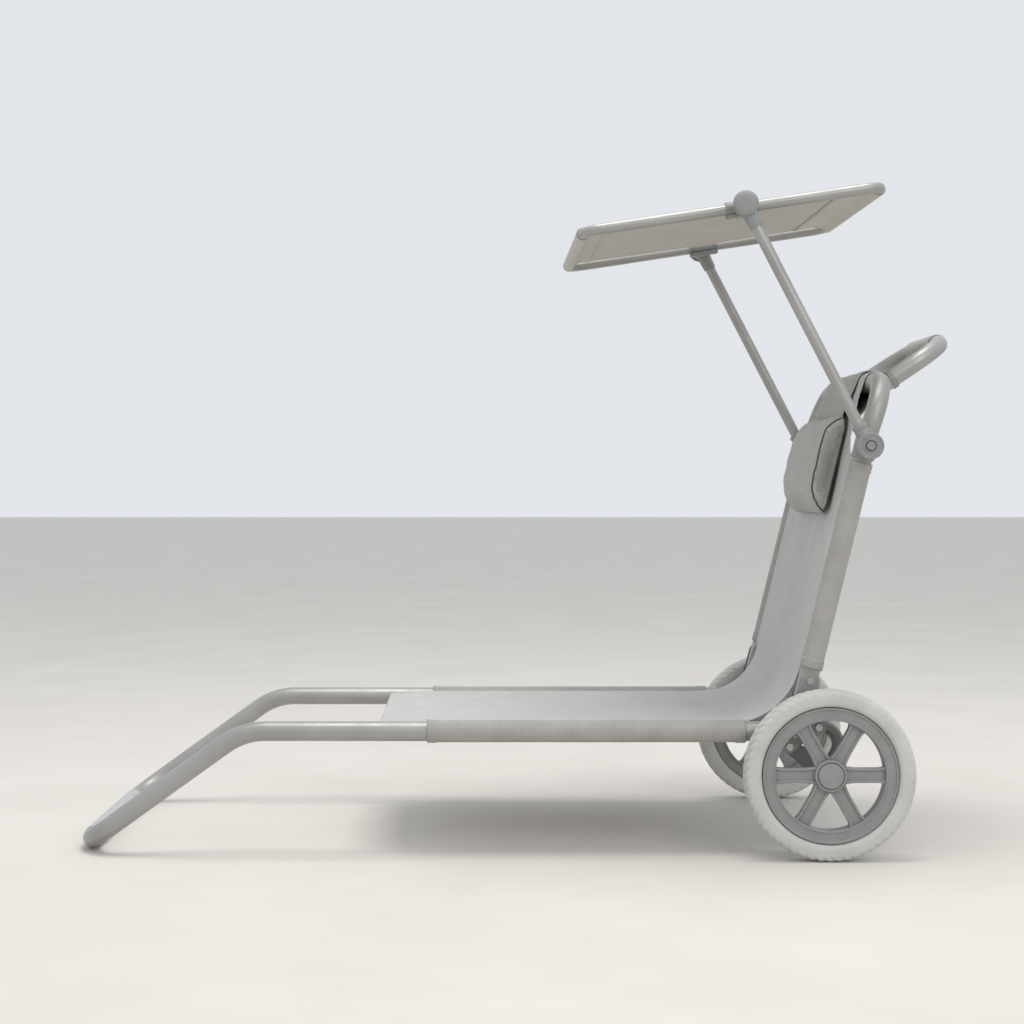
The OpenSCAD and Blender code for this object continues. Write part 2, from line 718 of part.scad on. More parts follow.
module arm_bolts() {
    head_d = 13;
    color([0.6, 0.6, 0.6]) on_back() for (side = [-1, 1]) sided(side) translate([0, 0, pivot_s]) {
        y_rod(half_w - saddle_d / 2, disc_out - 2, arm_bolt_d);
        translate([0, disc_out - 2, 0]) rotate([-90, 0, 0]) cylinder(d = head_d, h = 4, $fn = 6);
        translate([0, half_w - saddle_d / 2 - 5, 0]) rotate([-90, 0, 0]) cylinder(d = head_d, h = 5, $fn = 6);
    }
}

// The round pivot disc and the socket that holds the arm tube
module arm_disc(side) {
    socket_d = thin_d + 4;
    ring_at = 27;
    color([0.5, 0.5, 0.49]) on_arm() sided(side) difference() {
        union() {
            y_rod(disc_in, disc_out, disc_d);
            y_rod(disc_out - 1, disc_out + 1.2, disc_d - 9);
            translate([0, arm_y, 0]) cylinder(d = socket_d - 1, h = ring_at);
            translate([0, arm_y, ring_at]) cylinder(d = socket_d + 2, h = 6);
        }
        translate([0, arm_y, 14]) cylinder(d = thin_d + 2 * fit_gap, h = 40);
        y_rod(half_w, disc_out + 10, arm_bolt_d + 2 * run_gap);
        y_rod(disc_out - 2 - side_gap, disc_out + 10, 14);
    }
}
module arm_disc_left() { arm_disc(-1); }
module arm_disc_right() { arm_disc(1); }

module arm_tube(side) {
    color([0.66, 0.65, 0.63]) on_arm() sided(side) translate([0, arm_y, 15]) linear_extrude(arm_len - 15 - 19)
        tube_ring(thin_d, thin_wall);
}
module arm_tube_left() { arm_tube(-1); }
module arm_tube_right() { arm_tube(1); }

// The head at an arm's upper end: a cone-shaped socket under a round eye
module arm_head(side) {
    color([0.52, 0.52, 0.51]) on_arm() sided(side) translate([0, 0, arm_len]) difference() {
        union() {
            y_rod(head_in + side_gap, disc_out, eye_d);
            translate([0, arm_y, -36]) cylinder(d1 = thin_d + 3, d2 = thin_d + 6, h = 28);
        }
        translate([0, arm_y, -40]) cylinder(d = thin_d + 2 * fit_gap, h = 22);
        y_rod(half_w - 60, half_w + 80, tilt_bolt_d + 2 * fit_gap);
    }
}
module arm_head_left() { arm_head(-1); }
module arm_head_right() { arm_head(1); }

// The domed knob and its bolt, which the canopy clamp turns on
module tilt_knob(side) {
    knob_h = 9;
    dome_r = 24;
    color([0.55, 0.55, 0.54]) on_arm() sided(side) translate([0, 0, arm_len]) {
        intersection() {
            y_rod(disc_out + fit_gap, disc_out + 2 * knob_h, disc_d - 2);
            translate([0, disc_out + knob_h - dome_r, 0]) sphere(r = dome_r);
        }
        y_rod(canopy_y + thin_r + 2, disc_out + 2, tilt_bolt_d);
    }
}
module tilt_knob_left() { tilt_knob(-1); }
module tilt_knob_right() { tilt_knob(1); }

// ---- canopy -------------------------------------------------------------------

module canopy_frame() {
    side_run = canopy_len - 2 * canopy_corner_r;
    bar_run = 2 * canopy_y - 2 * canopy_corner_r;
    color([0.68, 0.67, 0.65]) on_canopy() translate([canopy_front + canopy_corner_r, -canopy_y, 0])
        rotate([0, 90, 0]) bent_tube(thin_d, thin_wall, [
            [side_run, 90, canopy_corner_r, 90],
            [bar_run, 0, canopy_corner_r, 90],
            [side_run, 0, canopy_corner_r, 90],
            [bar_run, 0, canopy_corner_r, 90]
        ]);
}

module canopy_fabric() {
    wide = canopy_y - thin_r - 4;
    rise = 3;
    grip = sqrt(pow(hem_d / 2, 2) - pow(rise, 2)) + fit_gap;
    front = canopy_front + grip;
    rear = canopy_rear - grip;
    // Cut back at the corners, where the frame bends in
    clip = canopy_corner_r - grip + thin_r;
    color([0.68, 0.65, 0.61]) on_canopy() translate([0, 0, rise]) linear_extrude(2) polygon([
        [front, clip - wide], [front + clip, -wide], [rear - clip, -wide], [rear, clip - wide],
        [rear, wide - clip], [rear - clip, wide], [front + clip, wide], [front, wide - clip]
    ]);
}

// A hem: the tunnel round a crossbar and the doubled band that is sewn to the canopy
module canopy_hem(bar_x, band, inward) {
    length = 2 * (canopy_y - canopy_corner_r);
    lap = 1;
    color([0.66, 0.64, 0.6]) on_canopy() translate([bar_x, 0, 0]) mirror([inward < 0 ? 1 : 0, 0, 0]) {
        translate([0, -length / 2, 0]) rotate([-90, 0, 0]) sleeve(hem_d, thin_d + 2 * fit_gap, length);
        translate([hem_d / 2 - lap, -length / 2, 1.2]) cube([band - hem_d + lap, length, 1.6]);
    }
}
module canopy_front_hem() { canopy_hem(canopy_front, hem_front, 1); }
module canopy_rear_hem() { canopy_hem(canopy_rear, hem_rear, -1); }

// The plastic clamp round a side tube, with a boss for the tilt bolt and a riveted foot
module canopy_clamp(side) {
    color([0.52, 0.52, 0.51]) on_canopy() sided(side) difference() {
        union() {
            translate([-clamp_len / 2, canopy_y, 0]) rotate([0, 90, 0]) cylinder(d = thin_d + 5, h = clamp_len);
            y_rod(canopy_y, head_in, eye_d - 4);
            translate([-clamp_len / 2, canopy_y - thin_r - 3, -thin_r - 5]) cube([clamp_len, thin_d + 4, 7]);
        }
        translate([-clamp_len, canopy_y, 0]) rotate([0, 90, 0]) cylinder(d = thin_d + 2 * fit_gap, h = 2 * clamp_len);
        y_rod(canopy_y + thin_r, half_w + 80, tilt_bolt_d + 2 * run_gap);
    }
}
module canopy_clamp_left() { canopy_clamp(-1); }
module canopy_clamp_right() { canopy_clamp(1); }

// Rivet heads on the inboard face of each clamp's foot
module clamp_rivets() {
    color([0.7, 0.7, 0.7]) on_canopy() for (side = [-1, 1], x = [-15, 0, 15]) sided(side)
        translate([x, 0, -thin_r - 1.5]) y_rod(canopy_y - thin_r - 4.6, canopy_y - thin_r - 3, 5);
}

// ---- drawing ------------------------------------------------------------------

back_frame();
back_plugs();
hinge_plates_left();
hinge_plates_right();
fold_bolts();
plate_bolts();
axle_hoop_left();
axle_hoop_right();
axle_strut_left();
axle_strut_right();
axle_bosses();
axle();
axle_clips();
wheel_spacers();
pivot_saddle_left();
pivot_saddle_right();
arm_bolts();
handle_tube();
handle_collars();
handle_grip();
back_sling();
back_tunnel_left();
back_tunnel_right();
back_top_wrap();
pillow();
pillow_flap();
seat_frame();
foot_grip();
rail_eye_left();
rail_eye_right();
seat_sling();
seat_tunnel_left();
seat_tunnel_right();
rim_left();
rim_right();
tyre_left();
tyre_right();
hub_bush_left();
hub_bush_right();
hub_cap_left();
hub_cap_right();
arm_disc_left();
arm_disc_right();
arm_tube_left();
arm_tube_right();
arm_head_left();
arm_head_right();
tilt_knob_left();
tilt_knob_right();
canopy_frame();
canopy_fabric();
canopy_front_hem();
canopy_rear_hem();
canopy_clamp_left();
canopy_clamp_right();
clamp_rivets();
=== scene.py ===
"""A beach cart: a two-wheeled sling lounger on a bent tube frame, with a tilting sunshade and a pull handle.
Lengths are in metres. The sitter faces -X, left is -Y, and the ground is at Z = 0."""

import bmesh
import bpy
import numpy as np
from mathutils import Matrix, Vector
from mathutils.bvhtree import BVHTree


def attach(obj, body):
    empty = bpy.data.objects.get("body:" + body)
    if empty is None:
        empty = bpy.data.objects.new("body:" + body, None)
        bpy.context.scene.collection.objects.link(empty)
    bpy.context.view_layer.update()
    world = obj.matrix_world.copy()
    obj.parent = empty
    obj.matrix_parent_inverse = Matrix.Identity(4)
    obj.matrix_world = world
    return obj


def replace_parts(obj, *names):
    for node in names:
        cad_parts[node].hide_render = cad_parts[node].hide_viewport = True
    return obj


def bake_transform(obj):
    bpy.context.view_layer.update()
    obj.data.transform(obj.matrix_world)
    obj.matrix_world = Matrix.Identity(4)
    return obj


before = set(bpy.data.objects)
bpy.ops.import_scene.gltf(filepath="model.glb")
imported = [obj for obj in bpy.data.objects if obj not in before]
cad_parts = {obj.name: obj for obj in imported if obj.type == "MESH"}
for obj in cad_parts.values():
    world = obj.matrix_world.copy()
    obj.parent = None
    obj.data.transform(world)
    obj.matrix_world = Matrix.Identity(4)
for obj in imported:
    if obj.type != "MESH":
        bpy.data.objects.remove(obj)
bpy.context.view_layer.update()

# ---- studio ----------------------------------------------------------------------
# A pale floor that reaches away on all sides, a wide soft lamp overhead, a soft fill beside the camera and
# an even pale sky.


def add_node(tree, kind, props=None, inputs=None):
    """One shader node: props are its own settings, and inputs are values, or sockets to link from."""
    made = tree.nodes.new(kind)
    for key, value in (props or {}).items():
        setattr(made, key, value)
    for key, value in (inputs or {}).items():
        if isinstance(value, bpy.types.NodeSocket):
            tree.links.new(value, made.inputs[key])
        else:
            made.inputs[key].default_value = value
    return made


def start_material(name, **shader_values):
    """An empty material with one Principled shader, whose plain numbers are set on its own sockets. It gives
    back the material, its node tree, the shader, and the object's own coordinates to place textures with."""
    material = bpy.data.materials.new(name)
    material.use_nodes = True
    tree = material.node_tree
    tree.nodes.clear()
    shader = add_node(tree, "ShaderNodeBsdfPrincipled", None, shader_values)
    add_node(tree, "ShaderNodeOutputMaterial", None, {"Surface": shader.outputs[0]})
    places = add_node(tree, "ShaderNodeTexCoord").outputs["Object"]
    return material, tree, shader, places


def blotches(tree, places, size, detail, dark, light):
    """Noise of about size metres, mixed between the colours or greys dark and light."""
    noise = add_node(
        tree,
        "ShaderNodeTexNoise",
        None,
        {"Vector": places, "Scale": 1 / size, "Detail": detail, "Roughness": 0.55},
    )
    ramp = add_node(tree, "ShaderNodeValToRGB", None, {"Fac": noise.outputs["Fac"]})
    ramp.color_ramp.elements[0].position = 0.34
    ramp.color_ramp.elements[1].position = 0.68
    for element, shade in zip(ramp.color_ramp.elements, (dark, light)):
        element.color = (*shade, 1) if hasattr(shade, "__len__") else (shade, shade, shade, 1)
    return ramp.outputs["Color"]


floor_reach = 30
floor_material, tree, shader, places = start_material("pale_floor", Roughness=0.9)
stone = blotches(tree, places, 0.3, 6, (0.66, 0.63, 0.585), (0.70, 0.67, 0.625))
tree.links.new(stone, shader.inputs["Base Color"])
floor_mesh = bpy.data.meshes.new("floor")
floor_corners = [(x * floor_reach, y * floor_reach, 0) for x, y in ((-1, -1), (1, -1), (1, 1), (-1, 1))]
floor_mesh.from_pydata(floor_corners, [], [(0, 1, 2, 3)])
floor = bpy.data.objects.new("floor", floor_mesh)
floor_mesh.materials.append(floor_material)
bpy.context.scene.collection.objects.link(floor)

world = bpy.data.worlds.new("studio")
bpy.context.scene.world = world
world.use_nodes = True
sky = world.node_tree.nodes["Background"]
sky.inputs["Color"].default_value = (0.90, 0.93, 0.97, 1)
sky.inputs["Strength"].default_value = 0.85


def soft_lamp(name, place, target, size, watts, colour):
    """A square area lamp at place, turned towards target."""
    data = bpy.data.lights.new(name, "AREA")
    data.shape = "SQUARE"
    data.size = size
    data.energy = watts
    data.color = colour
    lamp = bpy.data.objects.new(name, data)
    lamp.location = place
    lamp.rotation_euler = (Vector(target) - Vector(place)).to_track_quat("-Z", "Y").to_euler()
    bpy.context.scene.collection.objects.link(lamp)


soft_lamp("overhead", (0.1, -0.2, 3.6), (0.1, 0, 0), 1.7, 62, (1.0, 0.97, 0.93))
soft_lamp("front_fill", (1.6, -3.4, 2.4), (0, 0, 0.4), 2.2, 30, (1.0, 0.98, 0.95))

camera_data = bpy.data.cameras.new("camera")
camera_data.lens = 66.9
camera_data.sensor_width = 36
camera_data.shift_x = 0.041
camera_data.shift_y = -0.0244
camera = bpy.data.objects.new("camera", camera_data)
camera.location = (-0.0778, -2.929, 0.522)
camera.rotation_euler = (np.pi / 2, 0, 0)
bpy.context.scene.collection.objects.link(camera)
bpy.context.scene.camera = camera
bpy.context.scene.view_settings.view_transform = "Standard"

# ---- bent tubes --------------------------------------------------------------------
# Seat, back, handle, arm and canopy tubes: thin aluminium, bent on a mandrel and powder coated a satin grey.
# The coat has a fine orange peel, soft handling marks and a little dulling where sand rubs it.


def raise_grain(tree, shader, height, distance, strength):
    """A bump of distance metres that follows height, put on the shader's normal."""
    sizes = {"Height": height, "Distance": distance, "Strength": strength}
    bump = add_node(tree, "ShaderNodeBump", None, sizes)
    tree.links.new(bump.outputs[0], shader.inputs["Normal"])


def coated_metal(name, dark, light, rough, metal, peel):
    """Powder coat: two close greys in broad blotches, roughness that wanders, and a fine pebbled bump."""
    shine = {"Metallic": metal, "Coat Weight": 0.12, "Coat Roughness": 0.3}
    material, tree, shader, places = start_material(name, **shine)
    tree.links.new(blotches(tree, places, 0.07, 5, dark, light), shader.inputs["Base Color"])
    wander = blotches(tree, places, 0.025, 4, rough - 0.05, rough + 0.09)
    tree.links.new(wander, shader.inputs["Roughness"])
    pebble = add_node(tree, "ShaderNodeTexNoise", None, {"Vector": places, "Scale": 1100, "Detail": 2})
    scuff_place = add_node(tree, "ShaderNodeMapping", None, {"Vector": places, "Scale": (40, 900, 900)})
    scuff_size = {"Vector": scuff_place.outputs[0], "Scale": 1, "Detail": 3}
    scuff = add_node(tree, "ShaderNodeTexNoise", None, scuff_size)
    height = add_node(
        tree,
        "ShaderNodeMath",
        {"operation": "MULTIPLY_ADD"},
        {0: scuff.outputs["Fac"], 1: 0.08, 2: pebble.outputs["Fac"]},
    )
    raise_grain(tree, shader, height.outputs[0], peel, 0.5)
    return material


def finish_nodes(material, slot, *names):
    """Puts a finish on whole CAD nodes, in the slots that their faces already use."""
    for name in names:
        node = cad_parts[name]
        for k in range(len(node.data.materials)):
            node.data.materials[k] = material


tube_coat = coated_metal("satin_tube_coat", (0.335, 0.33, 0.318), (0.385, 0.38, 0.367), 0.40, 0.42, 0.00012)
finish_nodes(tube_coat, "frame_tube", "back_frame", "seat_frame", "handle_tube", "canopy_frame")
finish_nodes(tube_coat, "frame_tube", "arm_tube_left", "arm_tube_right")

# ---- brackets and fixings ----------------------------------------------------------
# Hinge plates, axle hoops, struts and bosses are pressed and welded steel under the same satin coat.
# Bolts, clips and the axle are zinc plated, with the dull spangle and fine turning marks of plated bar.

bracket_greys = (0.24, 0.24, 0.232), (0.30, 0.30, 0.288)
bracket_coat = coated_metal("satin_bracket_coat", *bracket_greys, 0.46, 0.4, 0.0002)
finish_nodes(bracket_coat, "bracket", "hinge_plates_left", "hinge_plates_right", "axle_hoop_left")
finish_nodes(bracket_coat, "bracket", "axle_hoop_right", "axle_strut_left", "axle_strut_right")
finish_nodes(bracket_coat, "bracket", "axle_bosses", "handle_collars")
zinc, tree, shader, places = start_material("zinc_plate", Metallic=1.0)
spangle = add_node(tree, "ShaderNodeTexVoronoi", None, {"Vector": places, "Scale": 420.0})
shades = add_node(tree, "ShaderNodeValToRGB", None, {"Fac": spangle.outputs["Distance"]})
shades.color_ramp.elements[0].color = (0.34, 0.34, 0.34, 1)
shades.color_ramp.elements[1].color = (0.44, 0.44, 0.435, 1)
tree.links.new(shades.outputs[0], shader.inputs["Base Color"])
tree.links.new(blotches(tree, places, 0.004, 3, 0.28, 0.46), shader.inputs["Roughness"])
rings = add_node(tree, "ShaderNodeTexNoise", None, {"Vector": places, "Scale": 2200.0, "Detail": 2.0})
raise_grain(tree, shader, rings.outputs["Fac"], 0.0001, 0.4)
finish_nodes(zinc, "steel", "fold_bolts", "plate_bolts", "axle", "axle_clips", "clamp_rivets")

# ---- moulded fittings --------------------------------------------------------------
# Rail eyes, plugs, spacers, saddles, arm sockets, knobs and canopy clamps are moulded nylon, spark finished,
# so they are matt with a very fine grain.


def moulded_plastic(name, dark, light, rough, grain):
    """Moulded plastic: close greys, a fine spark-finish grain, and roughness that wanders a little."""
    material, tree, shader, places = start_material(name, **{"Specular IOR Level": 0.45})
    tree.links.new(blotches(tree, places, 0.03, 5, dark, light), shader.inputs["Base Color"])
    tree.links.new(blotches(tree, places, 0.012, 4, rough - 0.06, rough + 0.08), shader.inputs["Roughness"])
    fine = add_node(tree, "ShaderNodeTexNoise", None, {"Vector": places, "Scale": 1500.0, "Detail": 3.0})
    raise_grain(tree, shader, fine.outputs["Fac"], grain, 0.6)
    return material


dark_nylon = moulded_plastic("dark_nylon", (0.045, 0.045, 0.044), (0.07, 0.07, 0.068), 0.5, 0.00015)
finish_nodes(dark_nylon, "dark_plastic", "back_plugs", "rail_eye_left", "rail_eye_right", "wheel_spacers")
finish_nodes(dark_nylon, "dark_plastic", "hub_bush_left", "hub_bush_right")
grey_nylon = moulded_plastic("grey_nylon", (0.235, 0.245, 0.238), (0.285, 0.295, 0.287), 0.5, 0.00015)
for side in ("left", "right"):
    finish_nodes(grey_nylon, "fitting", "pivot_saddle_" + side, "arm_disc_" + side, "arm_head_" + side)
    finish_nodes(grey_nylon, "fitting", "tilt_knob_" + side, "canopy_clamp_" + side)
finish_nodes(grey_nylon, "fitting", "arm_bolts")

# ---- tyres -------------------------------------------------------------------------
# Each tyre is one ring of light-grey foamed rubber, pressed over the rim. Its sides are smooth and softly
# rounded, and slanting bars are moulded across the crown in two rows that lean opposite ways.


def surface(name, points, material, round_u=False, round_v=False, u_at=None, v_at=None, closed=True):
    """A grid of points (u, v, xyz) as a mesh of four-sided faces. round_u and round_v join the last row or
    column to the first. u_at and v_at are the map's lengths along the grid in metres, and closed shapes
    have their doubles merged and their faces turned outwards."""
    n, m = points.shape[:2]
    i, j = np.meshgrid(np.arange(n - (not round_u)), np.arange(m - (not round_v)), indexing="ij")
    corner_u = np.stack([i, i + 1, i + 1, i], -1).reshape(-1, 4)
    corner_v = np.stack([j, j, j + 1, j + 1], -1).reshape(-1, 4)
    faces = (corner_u % n) * m + corner_v % m
    mesh = bpy.data.meshes.new(name)
    mesh.from_pydata(points.reshape(-1, 3).tolist(), [], faces.tolist())
    u_at = np.arange(n + 1) * 0.002 if u_at is None else np.asarray(u_at, float)
    v_at = np.arange(m + 1) * 0.002 if v_at is None else np.asarray(v_at, float)
    layer = mesh.uv_layers.new(name="cloth")
    layer.data.foreach_set("uv", np.stack([u_at[corner_u], v_at[corner_v]], -1).astype(np.float32).ravel())
    mesh.polygons.foreach_set("use_smooth", np.ones(len(faces), bool))
    mesh.materials.append(material)
    if closed:
        loose = bmesh.new()
        loose.from_mesh(mesh)
        bmesh.ops.remove_doubles(loose, verts=loose.verts, dist=1e-6)
        bmesh.ops.recalc_face_normals(loose, faces=loose.faces)
        loose.to_mesh(mesh)
        loose.free()
    made = bpy.data.objects.new(name, mesh)
    bpy.context.scene.collection.objects.link(made)
    return made


def round_corners(corners, radius, steps=5, loop=True):
    """A flat outline with its corners rounded: each corner becomes steps points of a quadratic curve that
    starts and ends radius away from it, or halfway along a shorter side."""
    c = np.asarray(corners, float)
    before = np.roll(c, 1, 0) - c
    after = np.roll(c, -1, 0) - c
    length_before = np.linalg.norm(before, axis=1, keepdims=True)
    length_after = np.linalg.norm(after, axis=1, keepdims=True)
    start = c + before / length_before * np.minimum(radius, length_before * 0.49)
    end = c + after / length_after * np.minimum(radius, length_after * 0.49)
    t = np.linspace(0, 1, steps)[None, :, None]
    curve = (1 - t) ** 2 * start[:, None] + 2 * t * (1 - t) * c[:, None] + t**2 * end[:, None]
    if not loop:
        curve[0] = c[0]
        curve[-1] = c[-1]
    return curve.reshape(-1, 2)


def turned(outline, centre, y0, side, count):
    """A profile of (radius, height) points turned about an axis along Y through centre (x, z):
    x = centre x + radius cos a, y = side (y0 + height), z = centre z + radius sin a."""
    a = np.arange(count) / count * 2 * np.pi
    r = outline[:, 0][:, None]
    h = outline[:, 1][:, None]
    return np.stack([centre[0] + r * np.cos(a), side * (y0 + h) + 0 * a, centre[1] + r * np.sin(a)], -1)


axle_at = (0.424129, 0.12)
wheel_y = 0.271
tyre_outer = 0.12
tyre_inner = 0.0951
tyre_half = 0.0175
bars_round = 56
bar_depth = 0.0017

rubber = {"Specular IOR Level": 0.3, "Sheen Weight": 0.06}
foam, tree, shader, places = start_material("light_foam_rubber", **rubber)
tone = blotches(tree, places, 0.045, 6, (0.50, 0.505, 0.475), (0.57, 0.575, 0.545))
tree.links.new(tone, shader.inputs["Base Color"])
tree.links.new(blotches(tree, places, 0.02, 4, 0.62, 0.82), shader.inputs["Roughness"])
cells = add_node(tree, "ShaderNodeTexVoronoi", None, {"Vector": places, "Scale": 900.0})
raise_grain(tree, shader, cells.outputs["Distance"], 0.0002, 0.35)

a = np.arange(896) / 896 * 2 * np.pi
t = np.arange(72) / 72 * 2 * np.pi
lobe = 2 / 3.4
squared = np.sign(np.cos(t)) * np.abs(np.cos(t)) ** lobe
radius = (tyre_outer + tyre_inner) / 2 + (tyre_outer - tyre_inner) / 2 * squared
height = tyre_half * np.sign(np.sin(t)) * np.abs(np.sin(t)) ** lobe
wave = np.sin(bars_round * a[None, :] + np.abs(height)[:, None] * 420)
groove = 1 / (1 + np.exp(-(wave - 0.35) * 7))
on_crown = np.clip((radius - 0.1085) / 0.005, 0, 1) ** 2
middle = np.exp(-((height / 0.0012) ** 2)) * (radius > 0.115)
cut = bar_depth * np.maximum(groove * on_crown[:, None], middle[:, None])
r = radius[:, None] - cut
for name, side in (("left", -1), ("right", 1)):
    out_y = side * (wheel_y + height[:, None]) + 0 * a
    place = np.stack([axle_at[0] + r * np.cos(a), out_y, axle_at[1] + r * np.sin(a)], -1)
    tyre = surface("moulded_tyre_" + name, place, foam, True, True)
    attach(tyre, "wheel_" + name)
    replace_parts(tyre, "tyre_" + name)

# ---- rims and hubs -----------------------------------------------------------------
# One moulding per wheel: a ring with a lip at each edge, six channel spokes with raised sides, and a barrel
# hub whose face has a round seat for the snap-on cap. The cap is very slightly domed.

rim_plastic = moulded_plastic("mid_grey_rim", (0.235, 0.245, 0.238), (0.275, 0.285, 0.277), 0.42, 0.0001)
rim_outer = 0.095
rim_inner = 0.077
hub_outer = 0.022
ring_profile = [
    (rim_inner, -0.0125), (rim_inner + 0.003, -0.0125), (0.081, -0.0095), (0.091, -0.0095),
    (rim_outer - 0.003, -0.0125), (rim_outer, -0.0125), (rim_outer, 0.0135), (rim_outer - 0.003, 0.0135),
    (0.0910, 0.0112), (0.0805, 0.0112), (rim_inner + 0.0022, 0.0128), (rim_inner, 0.0122),
]
hub_profile = [
    (0.0091, -0.021), (0.0165, -0.021), (0.018, -0.019), (0.0205, -0.004), (hub_outer + 0.001, 0.004),
    (hub_outer, 0.0142), (0.0188, 0.0146), (0.0186, 0.0118), (0.0091, 0.0118),
]
cap_profile = [
    (0.0, 0.0118), (0.0179, 0.0118), (0.0179, 0.0156), (0.0165, 0.0168), (0.009, 0.0176), (0.0, 0.0179),
]


def spoke(angle, side):
    """A channel spoke: a closed section carried from the hub to the ring. Across the spoke the front face is
    low in the middle and high along both sides, and the spoke widens a little at both of its ends."""
    along = np.linspace(0.0185, rim_inner + 0.0022, 40)
    share = (along - along[0]) / (along[-1] - along[0])
    widen = 1 + 0.22 * np.exp(-((share / 0.16) ** 2)) + 0.30 * np.exp(-(((1 - share) / 0.10) ** 2))
    half = 0.0103
    section = round_corners(
        [(-half, -0.004), (half, -0.004), (half, 0.0085), (half - 0.003, 0.0092), (half - 0.0048, 0.0052),
         (-half + 0.0048, 0.0052), (-half + 0.003, 0.0092), (-half, 0.0085)],
        0.0014,
    )
    across = section[None, :, 0] * widen[:, None]
    rise = section[None, :, 1] + 0 * across
    closing = np.ones(len(along))
    closing[[0, -1]] = 0
    across = across * closing[:, None]
    x = along[:, None] * np.cos(angle) - across * np.sin(angle)
    z = along[:, None] * np.sin(angle) + across * np.cos(angle)
    rise = np.where(closing[:, None] > 0, rise, 0.0)
    return np.stack([axle_at[0] + x, side * (wheel_y + rise), axle_at[1] + z], -1)


def join_into(first, others):
    """Puts the meshes of others into first, as one moulding."""
    loose = bmesh.new()
    loose.from_mesh(first.data)
    for other in others:
        loose.from_mesh(other.data)
        bpy.data.objects.remove(other)
    loose.to_mesh(first.data)
    loose.free()
    return first


for name, side in (("left", -1), ("right", 1)):
    ring = turned(round_corners(ring_profile, 0.0012), axle_at, wheel_y, side, 192)
    rim = surface("moulded_rim_" + name, ring, rim_plastic, True, True)
    hub = turned(round_corners(hub_profile, 0.0009), axle_at, wheel_y, side, 96)
    parts = [surface("hub", hub, rim_plastic, True, True)]
    for k in range(6):
        parts.append(surface("spoke", spoke(k * np.pi / 3, side), rim_plastic, False, True))
    join_into(rim, parts)
    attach(rim, "wheel_" + name)
    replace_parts(rim, "rim_" + name)
    dome = turned(round_corners(cap_profile, 0.0008, loop=False), axle_at, wheel_y, side, 96)
    cap = surface("domed_hub_cap_" + name, dome, rim_plastic, False, True)
    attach(cap, "wheel_" + name)
    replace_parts(cap, "hub_cap_" + name)

# ---- sling -------------------------------------------------------------------------
# One length of coated mesh. It starts as a loose flap ahead of the seat, lies between the seat tunnels and
# rolls up the fold in a free curve. It climbs between the back tunnels, narrows, wraps over the headrest bar
# and comes back down behind it to be sewn to itself.


def woven(name, dark, light, gap, across, along, rough, depth):
    """Plain weave from the piece's own map: warp and weft are arched threads, |sin| across each one, and a
    chequer of cells says which of the two passes over.
    The gaps between threads, and the low ends of each thread where it dips under, take the gap colour:
    painted shade between the threads."""
    fibre = {"Sheen Weight": 0.12, "Sheen Roughness": 0.5, "Specular IOR Level": 0.25}
    material, tree, shader, places = start_material(name, **fibre)

    def number(operation, *values):
        """One step of arithmetic between numbers or sockets."""
        return add_node(tree, "ShaderNodeMath", {"operation": operation}, dict(enumerate(values))).outputs[0]

    spot = add_node(tree, "ShaderNodeUVMap", {"uv_map": "cloth"}).outputs[0]
    split = add_node(tree, "ShaderNodeSeparateXYZ", None, {0: spot})
    u = number("MULTIPLY", split.outputs[0], 1 / along)
    v = number("MULTIPLY", split.outputs[1], 1 / across)
    arch_u = number("ABSOLUTE", number("SINE", number("MULTIPLY", u, np.pi)))
    arch_v = number("ABSOLUTE", number("SINE", number("MULTIPLY", v, np.pi)))
    cells = number("ADD", number("FLOOR", u), number("FLOOR", v))
    over = number("MULTIPLY", number("FRACT", number("MULTIPLY", cells, 0.5)), 2.0)
    first = number("MULTIPLY", arch_u, number("MULTIPLY_ADD", arch_v, 0.45, 0.55))
    second = number("MULTIPLY", arch_v, number("MULTIPLY_ADD", arch_u, 0.45, 0.55))
    other = number("MULTIPLY", second, number("SUBTRACT", 1.0, over))
    weave = number("ADD", number("MULTIPLY", first, over), other)
    thread = blotches(tree, places, 0.05, 6, dark, light)
    # Painted shade: where the weave height is low, between and under the threads, the colour goes to the
    # dark gap grey.
    thread_fac = add_node(tree, "ShaderNodeMapRange", None, {0: weave, 1: 0.12, 2: 0.55})
    colour = add_node(
        tree,
        "ShaderNodeMix",
        {"data_type": "RGBA"},
        {"Factor": thread_fac.outputs[0], "A": (*gap, 1), "B": thread},
    )
    tree.links.new(colour.outputs["Result"], shader.inputs["Base Color"])
    tree.links.new(blotches(tree, places, 0.01, 4, rough - 0.07, rough + 0.07), shader.inputs["Roughness"])
    fuzz = add_node(tree, "ShaderNodeTexNoise", None, {"Vector": places, "Scale": 1800.0, "Detail": 2.0})
    height = number("MULTIPLY_ADD", fuzz.outputs["Fac"], 0.15, weave)
    raise_grain(tree, shader, height, depth, 0.8)
    return material


def gone_along(line):
    """The distance gone at each point of a line."""
    return np.r_[0, np.cumsum(np.linalg.norm(np.diff(line, axis=0), axis=1))]


def in_space(flat, y=0.0):
    """A side-view pair (x, z) as a world triple at y."""
    return np.array([flat[0], y, flat[1]])


def thicken(piece, thickness):
    """Gives a sheet its thickness, half of it on each side."""
    wall = piece.modifiers.new("thickness", "SOLIDIFY")
    wall.thickness = thickness
    wall.offset = 0


